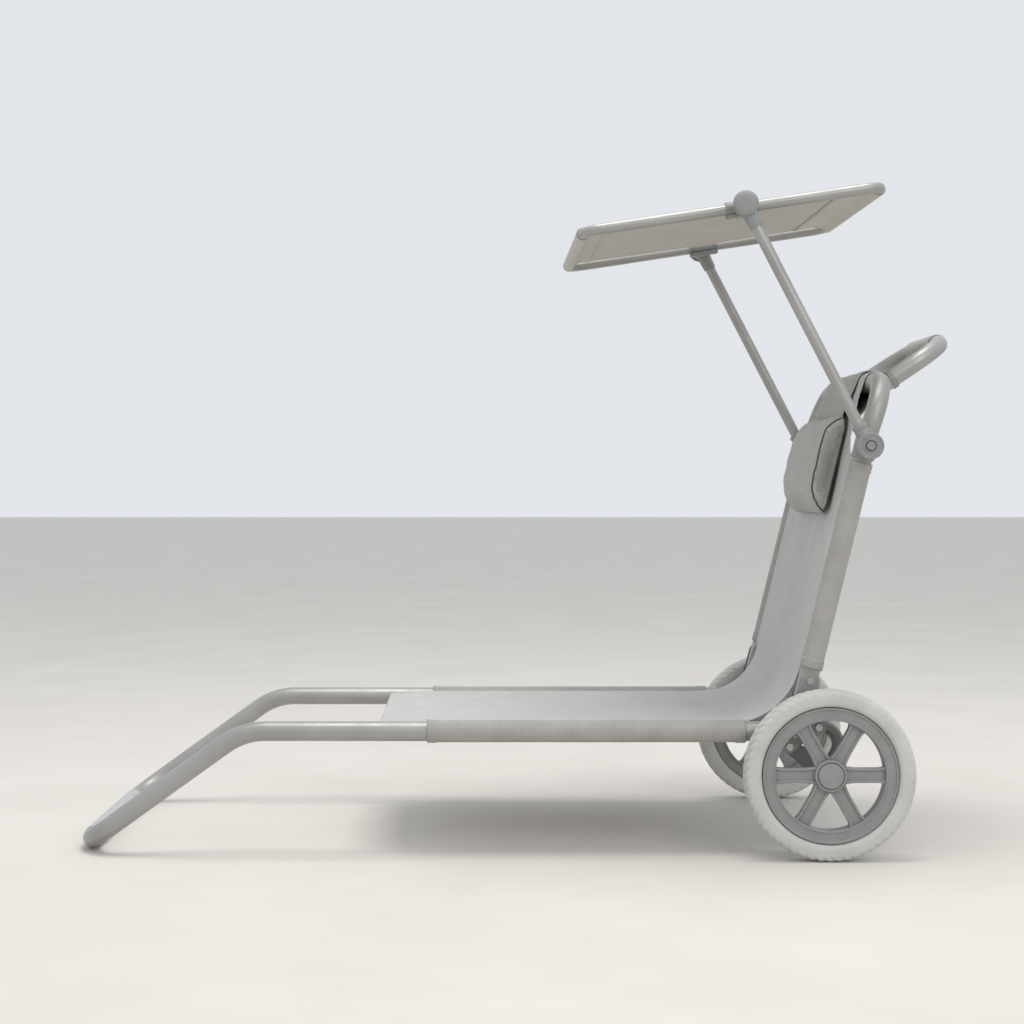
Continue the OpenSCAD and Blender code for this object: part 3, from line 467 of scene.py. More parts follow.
def along_path(corners, radii, spacing):
    """A line through corners in the side view, rounded at each inner corner by a circular arc of its radius,
    and sampled about every spacing metres. Returns the points (k, 2)."""
    pieces = [np.array([corners[0]], float)]
    for before, here, after, radius in zip(corners, corners[1:], corners[2:], radii):
        before, here, after = (np.asarray(p, float) for p in (before, here, after))
        a = (before - here) / np.linalg.norm(before - here)
        b = (after - here) / np.linalg.norm(after - here)
        half = np.arccos(np.clip(a @ b, -1, 1)) / 2
        reach = radius / np.tan(half)
        middle = here + (a + b) / np.linalg.norm(a + b) * radius / np.sin(half)
        start = here + a * reach - middle
        turn = np.pi - 2 * half
        way = np.sign(start[0] * (-a[1]) - start[1] * (-a[0]))
        angle = np.linspace(0, turn, max(8, int(radius * turn / spacing)))[:, None] * way
        turned_x = start[0] * np.cos(angle) - start[1] * np.sin(angle)
        turned_z = start[0] * np.sin(angle) + start[1] * np.cos(angle)
        pieces.append(middle + np.hstack([turned_x, turned_z]))
    pieces.append(np.array([corners[-1]], float))
    line = np.vstack(pieces)
    gone = gone_along(line)
    even = np.linspace(0, gone[-1], int(gone[-1] / spacing) + 1)
    return np.stack([np.interp(even, gone, line[:, k]) for k in (0, 1)], -1)


def side_normal(line):
    """The unit normal of a line in the side view, to the left of its run."""
    run = np.gradient(line, axis=0)
    run /= np.linalg.norm(run, axis=1, keepdims=True)
    return np.stack([-run[:, 1], run[:, 0]], -1)


hinge = np.array([0.383729, 0.1756])
lean = np.radians(13.8)
head_lean = np.radians(18.8)
head_bar = np.array([0.513176, 0.674844])
up_back = np.array([np.sin(lean), np.cos(lean)])
out_back = np.array([np.cos(lean), -np.sin(lean)])
up_head = np.array([np.sin(head_lean), np.cos(head_lean)])
out_head = np.array([np.cos(head_lean), -np.sin(head_lean)])


def on_back(s, t):
    """Side-view point s up the back tube from the fold hinge and t behind its centre."""
    return hinge + np.multiply.outer(s, up_back) + np.multiply.outer(t, out_back)


def on_head(s, t):
    """Side-view point s above the headrest bar's centre, along the upper back, and t behind it."""
    return head_bar + np.multiply.outer(s, up_head) + np.multiply.outer(t, out_head)


# The third grey is the painted shade in the gaps between threads.
sling_tones = (0.56, 0.555, 0.54), (0.62, 0.615, 0.60), (0.32, 0.317, 0.305)
sling_cloth = woven("sling_mesh_cloth", *sling_tones, 0.0017, 0.0017, 0.66, 0.0003)
tube_y = 0.229
sling_half = 0.2166
wrap_radius = 0.0156
leg_y = 0.132
leg_gap = 0.0152
seat_top = 0.0090
corner = on_back((seat_top + 0.0022) / np.cos(lean), -seat_top)
wrap = np.radians(np.arange(180, -24, -7.0))
round_bar = on_head(wrap_radius * np.sin(wrap), wrap_radius * np.cos(wrap))
return_layer = np.linspace(round_bar[-1], on_back(0.452, -0.0068), 22)[1:]
side_view = [
    (-0.2078, hinge[1] + seat_top),
    (corner[0] - 0.002, hinge[1] + seat_top),
    on_back(0.43, -seat_top),
    on_head(-0.030, -wrap_radius),
    round_bar[0],
]
line = along_path(side_view, [0.100, 0.15, 0.05], 0.0030)
line = np.vstack([line[:-1], round_bar, return_layer])
length = gone_along(line)
climb = (line - hinge) @ up_back
ahead = hinge[0] - line[:, 0]
on_seat = line[:, 1] < hinge[1] + 0.03

# The cut of the cloth, as (distance, half width): ahead of the fold hinge, then up the back from it.
seat_cut = [
    (-0.5920, 0.1930), (-0.5905, 0.1965), (-0.585, 0.1985), (-0.5650, 0.1990), (-0.5400, 0.1995),
    (-0.5270, 0.2050), (-0.5222, sling_half), (-0.0720, sling_half), (-0.0670, 0.2050), (-0.045, 0.1985),
]
back_cut = [
    (0.030, 0.1960), (0.080, 0.1965), (0.0885, 0.2030), (0.0925, sling_half), (0.3925, sling_half),
    (0.397, 0.205), (0.410, 0.172), (0.430, 0.151), (0.60, 0.150),
]
wide = np.where(on_seat, np.interp(-ahead, *zip(*seat_cut)), np.interp(climb, *zip(*back_cut)))
across = np.linspace(-1, 1, 97)
shape_across = np.sign(across) * (1 - (1 - np.abs(across)) ** 1.25)
y = wide[:, None] * shape_across
left = side_normal(line)
on_rails = on_seat & (ahead > 0.075) & (ahead < 0.52)
on_uprights = (climb > 0.095) & (climb < 0.39)
held = np.where(on_rails, 1.0, 0.0) + np.where(on_uprights, 1.0, 0.0)
kernel = np.hanning(25) / np.hanning(25).sum()
held = np.convolve(np.pad(held, 12, mode="edge"), kernel, mode="valid")
sag = -0.0038 * (1 - across**2) * np.clip(held, 0.25, 1)[:, None] * (climb < 0.45)[:, None]
pucker = 0.00022 * np.sin(length[:, None] * 2 * np.pi / 0.011) * np.abs(across) ** 18
drift = 0.0006 * np.sin(length * 37 + 1.2)[:, None] * np.sin(across * 5.1 + 0.4) * (1 - across**2)
lip = np.where(on_seat & (ahead > 0.53), -0.0014 * ((ahead - 0.53) / 0.06).clip(0, 1) ** 2, 0)[:, None]
lift = sag + pucker + drift + lip
lifted_x = line[:, 0][:, None] + left[:, 0][:, None] * lift
lifted_z = line[:, 1][:, None] + left[:, 1][:, None] * lift
points = np.stack([lifted_x, y, lifted_z], -1)

# The wrapped end has a round opening for each handle leg: grid points inside one move out to its edge.
handle_slope = np.radians(34)
leg_line = np.array([np.cos(handle_slope), np.sin(handle_slope)])
leg_start = head_bar + 0.011 * np.array([np.sin(handle_slope), -np.cos(handle_slope)])
for leg in (-leg_y, leg_y):
    off = np.stack([points[..., 0] - leg_start[0], points[..., 2] - leg_start[1]], -1)
    forward = off @ leg_line
    beside = off @ np.array([-leg_line[1], leg_line[0]])
    gap = np.hypot(beside, points[..., 1] - leg)
    near = (gap < leg_gap) & (forward > 0.002)
    scale = np.where(near, leg_gap / np.maximum(gap, 1e-4), 1)
    points[..., 1] = leg + (points[..., 1] - leg) * scale
across_map = np.r_[across * sling_half, 0]
sling = surface("mesh_sling", points, sling_cloth, u_at=length, v_at=across_map, closed=False)
thicken(sling, 0.0014)
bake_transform(sling)
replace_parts(sling, "seat_sling", "back_sling", "back_top_wrap")

# ---- side tunnels ------------------------------------------------------------------
# The sling's edges are sewn into sleeves of a heavier, coarser mesh that slide over the rails and the back
# tubes. Both ends of each sleeve are turned in once and sewn down with two rows of thread.

# The third grey is the painted shade in the gaps between threads.
tunnel_tones = (0.41, 0.398, 0.372), (0.49, 0.476, 0.446), (0.20, 0.193, 0.178)
tunnel_cloth = woven("coarse_tunnel_mesh", *tunnel_tones, 0.0027, 0.0022, 0.72, 0.0005)
sleeve_radius = 0.015
thread_look = moulded_plastic("sewing_thread", (0.40, 0.395, 0.375), (0.48, 0.47, 0.45), 0.6, 0.0001)


def stitches(name, path, out, pitch, body):
    """A row of sewn thread along path (k, xyz): each stitch is a short six-sided thread whose centre arches
    as sin along its length and is buried at both ends, and out (k, xyz) points away from the cloth."""
    gone = gone_along(path)
    count = max(2, int(gone[-1] / pitch))
    t = np.linspace(0, 1, 6)
    at = (np.arange(count)[:, None] + 0.12 + 0.76 * t[None, :]) * gone[-1] / count
    centre = np.stack([np.interp(at, gone, path[:, k]) for k in range(3)], -1)
    up = np.stack([np.interp(at, gone, out[:, k]) for k in range(3)], -1)
    up /= np.linalg.norm(up, axis=-1, keepdims=True)
    run = np.gradient(centre, axis=1)
    run /= np.linalg.norm(run, axis=-1, keepdims=True)
    beside = np.cross(run, up)
    centre = centre + up * (0.00045 * np.sin(np.pi * t) - 0.0001)[None, :, None]
    ring = np.arange(6) / 6 * 2 * np.pi
    thick = 0.00042 * np.clip(np.sin(np.pi * t) * 2.2, 0.25, 1)[None, :, None, None]
    around = np.cos(ring)[:, None] * up[:, :, None, :] + np.sin(ring)[:, None] * beside[:, :, None, :]
    grid = centre[:, :, None, :] + thick * around
    i, j, k = np.meshgrid(np.arange(count), np.arange(5), np.arange(6), indexing="ij")
    base = i * 36 + j * 6
    side_step = (k + 1) % 6
    faces = np.stack([base + k, base + 6 + k, base + 6 + side_step, base + side_step], -1).reshape(-1, 4)
    ends = np.arange(count)[:, None] * 36 + np.arange(6)
    mesh = bpy.data.meshes.new(name)
    all_faces = faces.tolist() + ends.tolist() + (ends[:, ::-1] + 30).tolist()
    mesh.from_pydata(grid.reshape(-1, 3).tolist(), [], all_faces)
    mesh.materials.append(thread_look)
    mesh.polygons.foreach_set("use_smooth", np.ones(len(mesh.polygons), bool))
    loose = bmesh.new()
    loose.from_mesh(mesh)
    bmesh.ops.recalc_face_normals(loose, faces=loose.faces)
    loose.to_mesh(mesh)
    loose.free()
    made = bpy.data.objects.new(name, mesh)
    bpy.context.scene.collection.objects.link(made)
    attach(made, body)
    return made


def tunnel(name, start, run, out, total, side, body, node):
    """A cloth sleeve round a tube: a circle of radius r about the tube's line, where r grows over the
    turned-in ends, and swells a little and ripples between them."""
    hem = 0.0135
    near_hem = np.linspace(hem - 0.001, hem + 0.001, 5)
    whole = np.linspace(0, total, int(total / 0.003))
    at = np.unique(np.round(np.r_[whole, near_hem, total - near_hem], 6))
    a = np.arange(64) / 64 * 2 * np.pi
    from_end = np.minimum(at, total - at)
    doubled = 0.5 - 0.5 * np.tanh((from_end - hem) / 0.0005)
    swell = 0.00016 * np.sin(a * 3 + at[:, None] * 55) * np.sin(at[:, None] * 90 + 1)
    seam_gather = 0.00012 * np.sin(at[:, None] * 2 * np.pi / 0.0095) * (np.cos(a - 2.6) > 0.6)
    r = 0.01495 + 0.00075 * doubled[:, None] + swell + seam_gather
    across_dir = np.array([0.0, side, 0.0])
    out3 = in_space(out)
    run3 = in_space(run)
    centre = in_space(start, side * tube_y) + at[:, None] * run3
    grid = centre[:, None, :] + r[..., None] * (np.cos(a)[:, None] * across_dir + np.sin(a)[:, None] * out3)
    around_map = np.arange(65) / 64 * 2 * np.pi * sleeve_radius
    made = surface(name, grid, tunnel_cloth, False, True, u_at=at, v_at=around_map, closed=False)
    thicken(made, 0.0013)
    for k, spot in enumerate((0.0035, 0.0105, total - 0.0105, total - 0.0035)):
        middle = centre[0] + spot * run3
        loop_a = np.linspace(0, 2 * np.pi, 49)
        facing = np.cos(loop_a)[:, None] * across_dir + np.sin(loop_a)[:, None] * out3
        row = middle + 0.01636 * facing
        stitches(f"{name}_thread_{k}", row, facing, 0.0036, body)
    seam_at = np.linspace(0.004, total - 0.004, 60)[:, None]
    lean_in = np.array([0.0, -side, 0.0]) * 0.0136 + out3 * 0.0094
    seam = centre[0] + seam_at * run3 + lean_in
    stitches(name + "_seam_thread", seam, np.tile(lean_in, (60, 1)), 0.0042, body)
    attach(made, body)
    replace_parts(made, node)


for name, side in (("left", -1), ("right", 1)):
    seat_start = hinge + (-0.0715, 0)
    back_start = on_back(0.092, 0)
    node = "_tunnel_" + name
    tunnel("seat_sleeve_" + name, seat_start, (-1, 0), (0, 1), 0.451, side, "seat", "seat" + node)
    tunnel("back_sleeve_" + name, back_start, up_back, -out_back, 0.3005, side, "back", "back" + node)

# ---- headrest cushion --------------------------------------------------------------
# A foam cushion in a smooth cloth cover: one band runs over its top, front and bottom, the two side panels
# are darker mesh, and a round piping is sewn into the seam between them.

# In both tone sets below, the third grey is the painted shade in the gaps between threads.
cover_tones = (0.47, 0.462, 0.44), (0.53, 0.52, 0.495), (0.29, 0.284, 0.27)
smooth_cloth = woven("smooth_cover_cloth", *cover_tones, 0.0012, 0.0012, 0.7, 0.0002)
panel_tones = (0.42, 0.405, 0.378), (0.50, 0.482, 0.45), (0.17, 0.163, 0.15)
side_mesh = woven("side_panel_mesh", *panel_tones, 0.0026, 0.0022, 0.75, 0.0005)
cushion_side = np.array([
    (0.3100, -0.0150), (0.3200, -0.0280), (0.3460, -0.0420), (0.3910, -0.0440), (0.4270, -0.0435),
    (0.4430, -0.0400), (0.4600, -0.0260), (0.4630, -0.0140), (0.4300, -0.0118), (0.3900, -0.0116),
    (0.3500, -0.0117), (0.3180, -0.0118),
])
cushion_half = 0.1255


def smooth_loop(corners, count):
    """A closed Catmull-Rom curve through corners, with count points spread along it."""
    n = len(corners)
    at = np.linspace(0, n, count, endpoint=False)
    i = at.astype(int)
    t = (at - i)[:, None]
    p0, p1, p2, p3 = (corners[(i + k) % n] for k in (-1, 0, 1, 2))
    second = 2 * p0 - 5 * p1 + 4 * p2 - p3
    third = 3 * p1 - p0 - 3 * p2 + p3
    return 0.5 * (2 * p1 + (p2 - p0) * t + second * t**2 + third * t**3)


outline = smooth_loop(cushion_side, 120)
heart = outline.mean(0)
v = np.sin(np.linspace(-1, 1, 61) * np.pi / 2)
shrink = (1 - np.abs(v) ** 16) ** (1 / 9)
pull_in = 1 - 0.035 * np.exp(-(((1 - np.abs(v)) / 0.12) ** 2))
ring = heart + (outline - heart)[None] * (shrink * pull_in)[:, None, None]
flat_side = on_back(ring[..., 0], ring[..., 1])
grid = np.stack([flat_side[..., 0], v[:, None] * cushion_half + 0 * ring[..., 0], flat_side[..., 1]], -1)
cushion = surface("headrest_cushion", grid, smooth_cloth, False, True)
remesh = cushion.modifiers.new("even", "REMESH")
remesh.mode = "VOXEL"
remesh.voxel_size = 0.0045
graph = bpy.context.evaluated_depsgraph_get()
even = bpy.data.meshes.new_from_object(cushion.evaluated_get(graph))
cushion.modifiers.clear()
cushion.data = even


def mesh_points(mesh):
    """All of a mesh's points as an array (k, 3)."""
    flat = np.empty(len(mesh.vertices) * 3, np.float32)
    mesh.vertices.foreach_get("co", flat)
    return flat.reshape(-1, 3).astype(float)


before = mesh_points(cushion.data)
cloth = cushion.modifiers.new("stuffing", "CLOTH")
cloth.settings.use_pressure = True
cloth.settings.uniform_pressure_force = 4
cloth.settings.quality = 6
cloth.settings.effector_weights.gravity = 0
cloth.point_cache.frame_end = 20
for step in range(1, 21):
    bpy.context.scene.frame_set(step)
graph = bpy.context.evaluated_depsgraph_get()
swollen = bpy.data.meshes.new_from_object(cushion.evaluated_get(graph))
after = mesh_points(swollen)
cushion.modifiers.clear()
moved = after - before
far = np.linalg.norm(moved, axis=1, keepdims=True)
moved *= np.minimum(1, 0.006 / np.maximum(far, 1e-9))
behind = (before[:, [0, 2]] - hinge) @ out_back
moved[behind > -0.0135] *= 0.15
cushion.data.vertices.foreach_set("co", (before + moved).astype(np.float32).ravel())
bpy.context.scene.frame_set(1)

# Long soft creases run across the band, and the seams draw the cover in beside the piping.
points = mesh_points(cushion.data)
s = (points[:, [0, 2]] - hinge) @ up_back
t = (points[:, [0, 2]] - hinge) @ out_back
crease = 0.0005 * np.sin(s * 210 + 1.5 * np.sin(points[:, 1] * 21)) * np.clip((-t - 0.02) / 0.02, 0, 1)
seam_y = 0.1215
draw = -0.0011 * np.exp(-(((np.abs(points[:, 1]) - seam_y) / 0.0035) ** 2))
points[:, [0, 2]] += np.outer(-(crease + draw) * (t < -0.014), out_back)
cushion.data.vertices.foreach_set("co", points.astype(np.float32).ravel())
cushion.data.materials.clear()
for cloth_look in (smooth_cloth, side_mesh):
    cushion.data.materials.append(cloth_look)
centres = np.array([p.center for p in cushion.data.polygons])
normals = np.array([p.normal for p in cushion.data.polygons])
on_panel = (np.abs(centres[:, 1]) > seam_y) & (np.abs(normals[:, 1]) > 0.35)
cushion.data.polygons.foreach_set("material_index", on_panel.astype(np.int32))
cushion.data.polygons.foreach_set("use_smooth", np.ones(len(cushion.data.polygons), bool))
corner_points = np.empty(len(cushion.data.loops), np.int32)
cushion.data.loops.foreach_get("vertex_index", corner_points)
face_of = np.repeat(np.arange(len(cushion.data.polygons)), [p.loop_total for p in cushion.data.polygons])
panel_corner = on_panel[face_of]
faces_up = np.abs(normals[face_of] @ in_space(up_back)) > 0.8
around_band = np.where(faces_up, t[corner_points], s[corner_points])
on_side = np.stack([s[corner_points], t[corner_points]], -1)
on_band = np.stack([around_band, points[corner_points, 1]], -1)
uv = np.where(panel_corner[:, None], on_side, on_band)
layer = cushion.data.uv_layers.new(name="cloth")
layer.data.foreach_set("uv", uv.astype(np.float32).ravel())
finer = cushion.modifiers.new("smooth", "SUBSURF")
finer.levels = 1
finer.render_levels = 1
tree_of = BVHTree.FromPolygons(points.tolist(), [list(p.vertices) for p in cushion.data.polygons])


def cord_along(name, path, out, thick, material):
    """A round cord on a closed line: a circle of radius thick about each point, in the plane across the
    line. Points closer together than two hundredths of a millimetre count as one."""
    apart = np.linalg.norm(path - np.roll(path, 1, 0), axis=1) > 2e-5
    path = path[apart]
    out = out[apart]
    run = np.roll(path, -1, 0) - np.roll(path, 1, 0)
    run /= np.linalg.norm(run, axis=1, keepdims=True)
    beside = np.cross(run, out)
    beside /= np.linalg.norm(beside, axis=1, keepdims=True)
    up = np.cross(beside, run)
    a = np.arange(12) / 12 * 2 * np.pi
    around = np.cos(a)[None, :, None] * up[:, None] + np.sin(a)[None, :, None] * beside[:, None]
    return surface(name, path[:, None] + thick * around, material, True, True)


piping_greys = (0.055, 0.053, 0.048), (0.085, 0.082, 0.075)
piping_cloth = moulded_plastic("dark_piping_cloth", *piping_greys, 0.75, 0.0002)
for name, side in (("left", -1), ("right", 1)):
    ring = heart + (smooth_loop(cushion_side, 240) - heart) * 1.04
    flat_side = on_back(ring[:, 0], ring[:, 1])
    path = []
    for spot in np.stack([flat_side[:, 0], np.full(240, side * seam_y), flat_side[:, 1]], -1):
        nearest = tree_of.find_nearest(Vector(spot))
        path.append((*nearest[0], *nearest[1]))
    path = np.array(path)
    for _ in range(3):
        path = (np.roll(path, 1, 0) + 2 * path + np.roll(path, -1, 0)) / 4
    outward = path[:, 3:]
    on_seam = path[:, :3] + outward * 0.0002
    cord = cord_along("cushion_piping_" + name, on_seam, outward, 0.0012, piping_cloth)
    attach(cord, "back")
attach(cushion, "back")
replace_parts(cushion, "pillow")

# ---- cushion flap ------------------------------------------------------------------
# A hemmed strap of a coarser cloth, as wide as the gap between the handle legs. It is sewn to the cushion's
# top seam, hangs over the headrest bar and stays put by friction.

# The third grey is the painted shade in the gaps between threads.
flap_tones = (0.43, 0.42, 0.395), (0.49, 0.478, 0.45), (0.24, 0.234, 0.22)
flap_cloth = woven("flap_cloth", *flap_tones, 0.0020, 0.0016, 0.72, 0.0003)
flap_half = 0.1165
wrap = np.radians(np.arange(186, 22, -6.0))
over_bar = on_head(0.0192 * np.sin(wrap), 0.0192 * np.cos(wrap))
rising = np.stack([on_back(0.450, -0.0205), on_back(0.464, -0.0215), on_head(-0.030, -0.0215)])
line = np.vstack([rising, over_bar])
gone = gone_along(line)
even = np.linspace(0, gone[-1], 60)
line = np.stack([np.interp(even, gone, line[:, k]) for k in (0, 1)], -1)
for _ in range(4):
    line[1:-1] = (line[:-2] + 2 * line[1:-1] + line[2:]) / 4
across = np.linspace(-1, 1, 81)
flap_wide = flap_half - 0.0012 * np.sin(even / even[-1] * np.pi)
left = side_normal(line)
edge = np.clip((0.115 - np.abs(flap_wide[:, None] * across)) / 0.004, 0, 1)
ripple = 0.0007 * np.sin(across * 9 + even[:, None] * 25) * np.sin(np.pi * even / even[-1])[:, None]
lift = ripple + 0.0005 * (1 - edge)
lifted_x = line[:, 0][:, None] + left[:, 0][:, None] * lift
lifted_z = line[:, 1][:, None] + left[:, 1][:, None] * lift
points = np.stack([lifted_x, flap_wide[:, None] * across, lifted_z], -1)
across_map = np.r_[across * flap_half, 0]
flap = surface("cushion_flap", points, flap_cloth, u_at=even, v_at=across_map, closed=False)
thicken(flap, 0.0018)
for name, side in (("left", -1), ("right", 1)):
    row = points[2:-1, int(np.argmin(np.abs(across - side * 0.955)))]
    outward = np.stack([left[2:-1, 0], 0 * even[2:-1], left[2:-1, 1]], -1)
    row = row + outward * 0.0009
    stitches("flap_thread_" + name, row, outward, 0.004, "back")
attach(flap, "back")
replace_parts(flap, "pillow_flap")

# ---- canopy ------------------------------------------------------------------------
# A taupe woven shade pulled tight between the canopy's crossbars. It is clear of the side tubes, so it draws
# in a little between the bars and hangs a few millimetres in the middle.

# In both tone sets below, the third grey is the painted shade in the gaps between threads.
shade_tones = (0.52, 0.495, 0.45), (0.585, 0.56, 0.51), (0.33, 0.31, 0.28)
shade_cloth = woven("taupe_shade_cloth", *shade_tones, 0.0016, 0.0016, 0.72, 0.00025)
hem_tones = (0.53, 0.51, 0.47), (0.585, 0.562, 0.52), (0.37, 0.352, 0.322)
hem_cloth = woven("smooth_hem_cloth", *hem_tones, 0.0012, 0.0012, 0.7, 0.00015)
shade_half = 0.2115
hem_half = 0.1985
tilt_pivot = np.array([0.307846, 0.918866])
pitch = np.radians(8.6)
to_rear = np.array([np.cos(pitch), np.sin(pitch)])
to_top = np.array([-np.sin(pitch), np.cos(pitch)])
front_bar = -0.22618
rear_bar = 0.20382


def on_canopy(along, rise, y):
    """World points from distances behind the tilt pivot along the canopy, above its tubes, and across."""
    flat = tilt_pivot + along[..., None] * to_rear + rise[..., None] * to_top
    return np.stack([flat[..., 0], y + 0 * along, flat[..., 1]], -1)


along = np.linspace(front_bar + 0.0085, rear_bar - 0.0085, 150)
across = np.linspace(-1, 1, 111)
share = (along - along[0]) / (along[-1] - along[0])
from_bar = np.minimum(along - along[0], along[-1] - along)
half = shade_half - 0.0035 * np.sin(np.pi * share) - 0.0135 * np.clip(1 - from_bar / 0.019, 0, 1) ** 2
droop = -0.0055 * np.sin(np.pi * share)[:, None] * (1 - 0.72 * across**2)
tension = 0.00035 * np.sin(across * 26 + 1.1) * np.exp(-from_bar / 0.05)[:, None]
rise = 0.0042 + droop + tension
grid = on_canopy(along[:, None] + 0 * across, rise, half[:, None] * across)
across_map = np.r_[across * shade_half, 0]
shade = surface("canopy_cloth", grid, shade_cloth, u_at=along, v_at=across_map, closed=False)
thicken(shade, 0.0012)


def crossbar_hem(name, bar, inward, band):
    """The doubled hem round a crossbar: the side-view line starts on top at the band's edge, runs out to the
    bar, goes round it in a circle, and comes back under the shade to the same edge."""
    a = np.radians(np.arange(62, 299, 6.0)) if inward > 0 else np.radians(np.arange(118, -119, -6.0))
    ring_x = 0.0089 * np.cos(a)
    ring_z = 0.0089 * np.sin(a)
    x = np.r_[inward * np.linspace(band, 0.012, 12), ring_x, inward * np.linspace(0.012, band, 12)]
    low = droop[np.argmin(np.abs(along - bar - inward * band)), len(across) // 2]
    settle = np.linspace(1, 0, 12) ** 1.5
    z = np.r_[0.0058 + low * settle, ring_z, 0.0024 + low * settle[::-1]]
    for _ in range(2):
        x[1:-1] = (x[:-2] + 2 * x[1:-1] + x[2:]) / 4
        z[1:-1] = (z[:-2] + 2 * z[1:-1] + z[2:]) / 4
    gone = np.r_[0, np.cumsum(np.hypot(np.diff(x), np.diff(z)))]
    sway = np.linspace(-1, 1, 61)
    y = hem_half * sway
    level = z[:, None] - (low * np.clip(np.abs(x) / band, 0, 1) ** 1.5)[:, None] * 0.72 * sway**2
    grid = on_canopy(bar + x[:, None] + 0 * y, level, y[None, :] + 0 * level)
    made = surface(name, grid, hem_cloth, u_at=gone, v_at=np.r_[y, 0], closed=False)
    thicken(made, 0.0010)
    for place, k, sign in (("top", 1, 1), ("under", len(x) - 2, -1)):
        outward = np.tile(in_space(to_top) * sign, (61, 1))
        row = grid[k] + outward * 0.0006
        stitches(f"{name}_thread_{place}", row, outward, 0.004, "canopy")
    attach(made, "canopy")
    return made


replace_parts(crossbar_hem("front_hem_band", front_bar, 1, 0.035), "canopy_front_hem")
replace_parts(crossbar_hem("rear_hem_band", rear_bar, -1, 0.057), "canopy_rear_hem")
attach(shade, "canopy")
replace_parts(shade, "canopy_fabric")

# ---- arm and canopy fittings -------------------------------------------------------
# Moulded nylon, one moulding each: a saddle round the back tube with a pivot boss, a ringed pivot disc with
# the arm's socket, an eye with a cone socket at the arm's top, a domed knob, and a clamp round the canopy's
# side tube.


def spun(outline, origin, axis, first, count=96):
    """A profile of (radius, height) points turned about any line: origin + height times axis
    + radius (cos a times first + sin a times axis x first)."""
    a = (np.arange(count) / count * 2 * np.pi)[:, None]
    around = np.cos(a) * first + np.sin(a) * np.cross(axis, first)
    r = outline[:, 0][:, None, None]
    h = outline[:, 1][:, None, None]
    return origin + h * axis + r * around


def barrel(inner, outer, low, high, soft=0.0012):
    """The closed profile of a straight tube with rounded lips, as (radius, height) points."""
    return round_corners([(inner, low), (outer, low), (outer, high), (inner, high)], soft)


def rounded_plate(centre, along, across, up, sizes):
    """A flat plate with soft edges: a superellipse outline, carried up through its thickness and drawn in at
    both faces by the same law, then closed to a point in the middle of each face."""
    t = np.arange(96) / 96 * 2 * np.pi
    x = np.sign(np.cos(t)) * np.abs(np.cos(t)) ** 0.22
    y = np.sign(np.sin(t)) * np.abs(np.sin(t)) ** 0.22
    rise = np.array([-1, -1, -1, -0.97, -0.8, 0, 0.8, 0.97, 1, 1, 1.0])
    size = np.array([0, 0.6, 0.93, 0.97, 1, 1, 1, 0.97, 0.93, 0.6, 0.0])
    flat = x[:, None] * along * sizes[0] + y[:, None] * across * sizes[1]
    return centre + size[:, None, None] * flat + (rise[:, None] * up * sizes[2])[:, None]


arm_y = 0.258
canopy_tube_y = 0.224
arm_lean = np.radians(27.3)
arm_up = np.array([-np.sin(arm_lean), 0, np.cos(arm_lean)])
canopy_run = in_space(to_rear)
canopy_up = in_space(to_top)
back_run = in_space(up_back)
arm_pivot = (0.482959, 0.579592)
disc_profile = [
    (0.0041, 0.0), (0.0165, 0.0), (0.019, 0.0022), (0.019, 0.0196), (0.0176, 0.0212), (0.0160, 0.0212),
    (0.0152, 0.0203), (0.0106, 0.0203), (0.0100, 0.0216), (0.0080, 0.0216), (0.0072, 0.0188),
    (0.0041, 0.0188),
]
knob_profile = [
    (0.0, -0.034), (0.003, -0.034), (0.003, 0.0), (0.0174, 0.0), (0.0180, 0.0010), (0.0180, 0.0026),
    (0.0168, 0.0050), (0.0132, 0.0072), (0.0080, 0.0085), (0.0, 0.0090),
]
eye_profile = [(0.0031, 0.0), (0.0150, 0.0), (0.0150, 0.0226), (0.0031, 0.0226)]
cone_profile = [
    (0.0081, -0.036), (0.0093, -0.036), (0.0097, -0.034), (0.0110, -0.012), (0.0110, -0.008),
    (0.0081, -0.008),
]
boss_profile = [(0.0031, 0.008), (0.013, 0.008), (0.013, 0.022), (0.0031, 0.022)]
socket_profile = [(0.0081, 0.0120), (0.0118, 0.0120), (0.0100, 0.0280), (0.0081, 0.0280)]
root_profile = [(0.0, 0.006), (0.0095, 0.006), (0.0095, 0.018), (0.0, 0.018)]


def moulding(name, body, node, rings, solids=()):
    """Joins closed surfaces into one moulded piece on a body: rings have a hole along their axis, and solids
    close to a point at both ends."""
    parts = [surface("part", grid, grey_nylon, True, True) for grid in rings]
    parts += [surface("part", grid, grey_nylon, False, True) for grid in solids]
    first = join_into(parts[0], parts[1:])
    first.name = name
    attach(first, body)
    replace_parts(first, node)


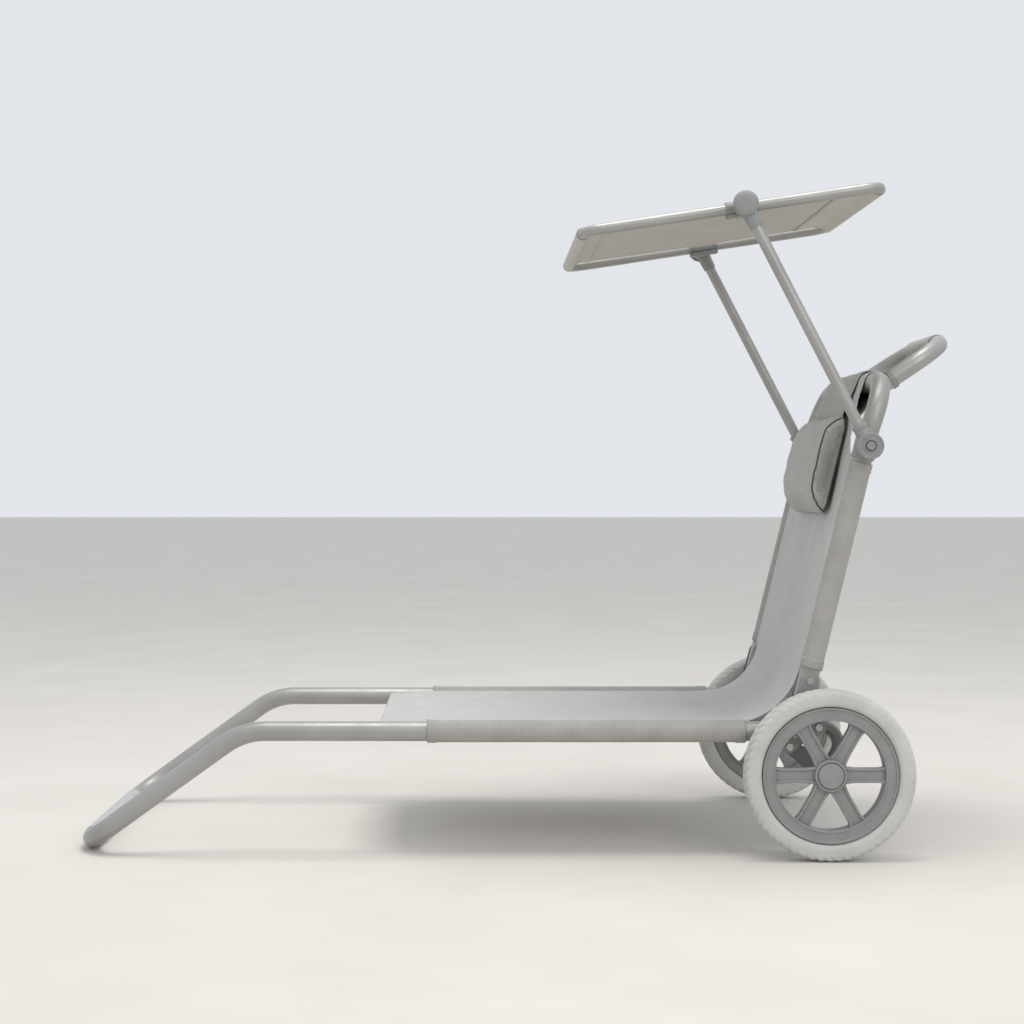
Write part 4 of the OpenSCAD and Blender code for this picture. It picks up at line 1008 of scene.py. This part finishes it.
for name, side in (("left", -1), ("right", 1)):
    out_y = np.array([0.0, side, 0.0])
    pivot = in_space(arm_pivot, side * arm_y)
    top = in_space(tilt_pivot, side * arm_y)
    disc = turned(round_corners(disc_profile, 0.0007), arm_pivot, arm_y - 0.010, side, 128)
    socket = spun(round_corners(socket_profile, 0.0008), pivot, arm_up, out_y)
    ring = spun(barrel(0.0081, 0.0112, 0.0270, 0.0330), pivot, arm_up, out_y)
    root = spun(round_corners(root_profile, 0.0008, loop=False), pivot, arm_up, out_y)
    moulding("pivot_disc_" + name, "canopy_arms", "arm_disc_" + name, [disc, socket, ring], [root])
    eye = turned(round_corners(eye_profile, 0.0016), tilt_pivot, arm_y - 0.0117, side, 128)
    cone = spun(round_corners(cone_profile, 0.0008), top, arm_up, out_y)
    moulding("arm_top_eye_" + name, "canopy_arms", "arm_head_" + name, [eye, cone])
    knob = turned(round_corners(knob_profile, 0.0010, loop=False), tilt_pivot, arm_y + 0.0111, side, 128)
    moulding("domed_knob_" + name, "canopy_arms", "tilt_knob_" + name, [], [knob])
    saddle_at = in_space(on_back(0.416, 0.0), side * tube_y)
    saddle = [spun(barrel(0.0141, 0.0162, -0.018, 0.018), saddle_at, back_run, out_y)]
    for edge in (-0.016, 0.016):
        lip = barrel(0.0141, 0.0168, edge - 0.002, edge + 0.002, 0.0009)
        saddle.append(spun(lip, saddle_at, back_run, out_y))
    saddle.append(spun(barrel(0.0041, 0.0150, 0.0145, 0.0187, 0.0008), saddle_at, out_y, back_run))
    moulding("arm_saddle_" + name, "back", "pivot_saddle_" + name, saddle)
    clamp_at = in_space(tilt_pivot, side * canopy_tube_y)
    clamp = [spun(barrel(0.0081, 0.0102, -0.0225, 0.0225), clamp_at, canopy_run, out_y)]
    for edge in (-0.0208, 0.0208):
        lip = barrel(0.0081, 0.0106, edge - 0.0017, edge + 0.0017, 0.0008)
        clamp.append(spun(lip, clamp_at, canopy_run, out_y))
    clamp.append(spun(round_corners(boss_profile, 0.0012), clamp_at, out_y, canopy_run))
    foot_place = clamp_at - out_y * 0.001 - canopy_up * 0.0105
    foot = rounded_plate(foot_place, canopy_run, out_y, canopy_up, (0.0228, 0.0099, 0.0024))
    moulding("canopy_tube_clamp_" + name, "canopy", "canopy_clamp_" + name, clamp, [foot])

# ---- grips -------------------------------------------------------------------------
# Soft sleeves pushed over the handle's crossbar and the foot bar. Their ends are rounded, and the skin of
# the foam has a fine leathery grain.

grip_foam = moulded_plastic("foam_grip_skin", (0.36, 0.355, 0.345), (0.41, 0.405, 0.395), 0.68, 0.0003)
foot_rubber = moulded_plastic("foot_bar_rubber", (0.43, 0.435, 0.44), (0.48, 0.485, 0.49), 0.6, 0.0002)
grip_at = (0.623371, 0.735904)
foot_at = (-0.623771, 0.015)
for name, centre, inner, outer, half, material, body, node in (
    ("handle_foam_grip", grip_at, 0.01305, 0.0154, 0.0718, grip_foam, "back", "handle_grip"),
    ("foot_bar_sleeve", foot_at, 0.01405, 0.0150, 0.1668, foot_rubber, "seat", "foot_grip"),
):
    ends = [(inner, -half), (outer, -half), (outer, half), (inner, half)]
    profile = round_corners(ends, (outer - inner) * 0.6)
    grip = surface(name, turned(profile, centre, 0.0, 1, 96), material, True, True)
    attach(grip, body)
    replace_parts(grip, node)
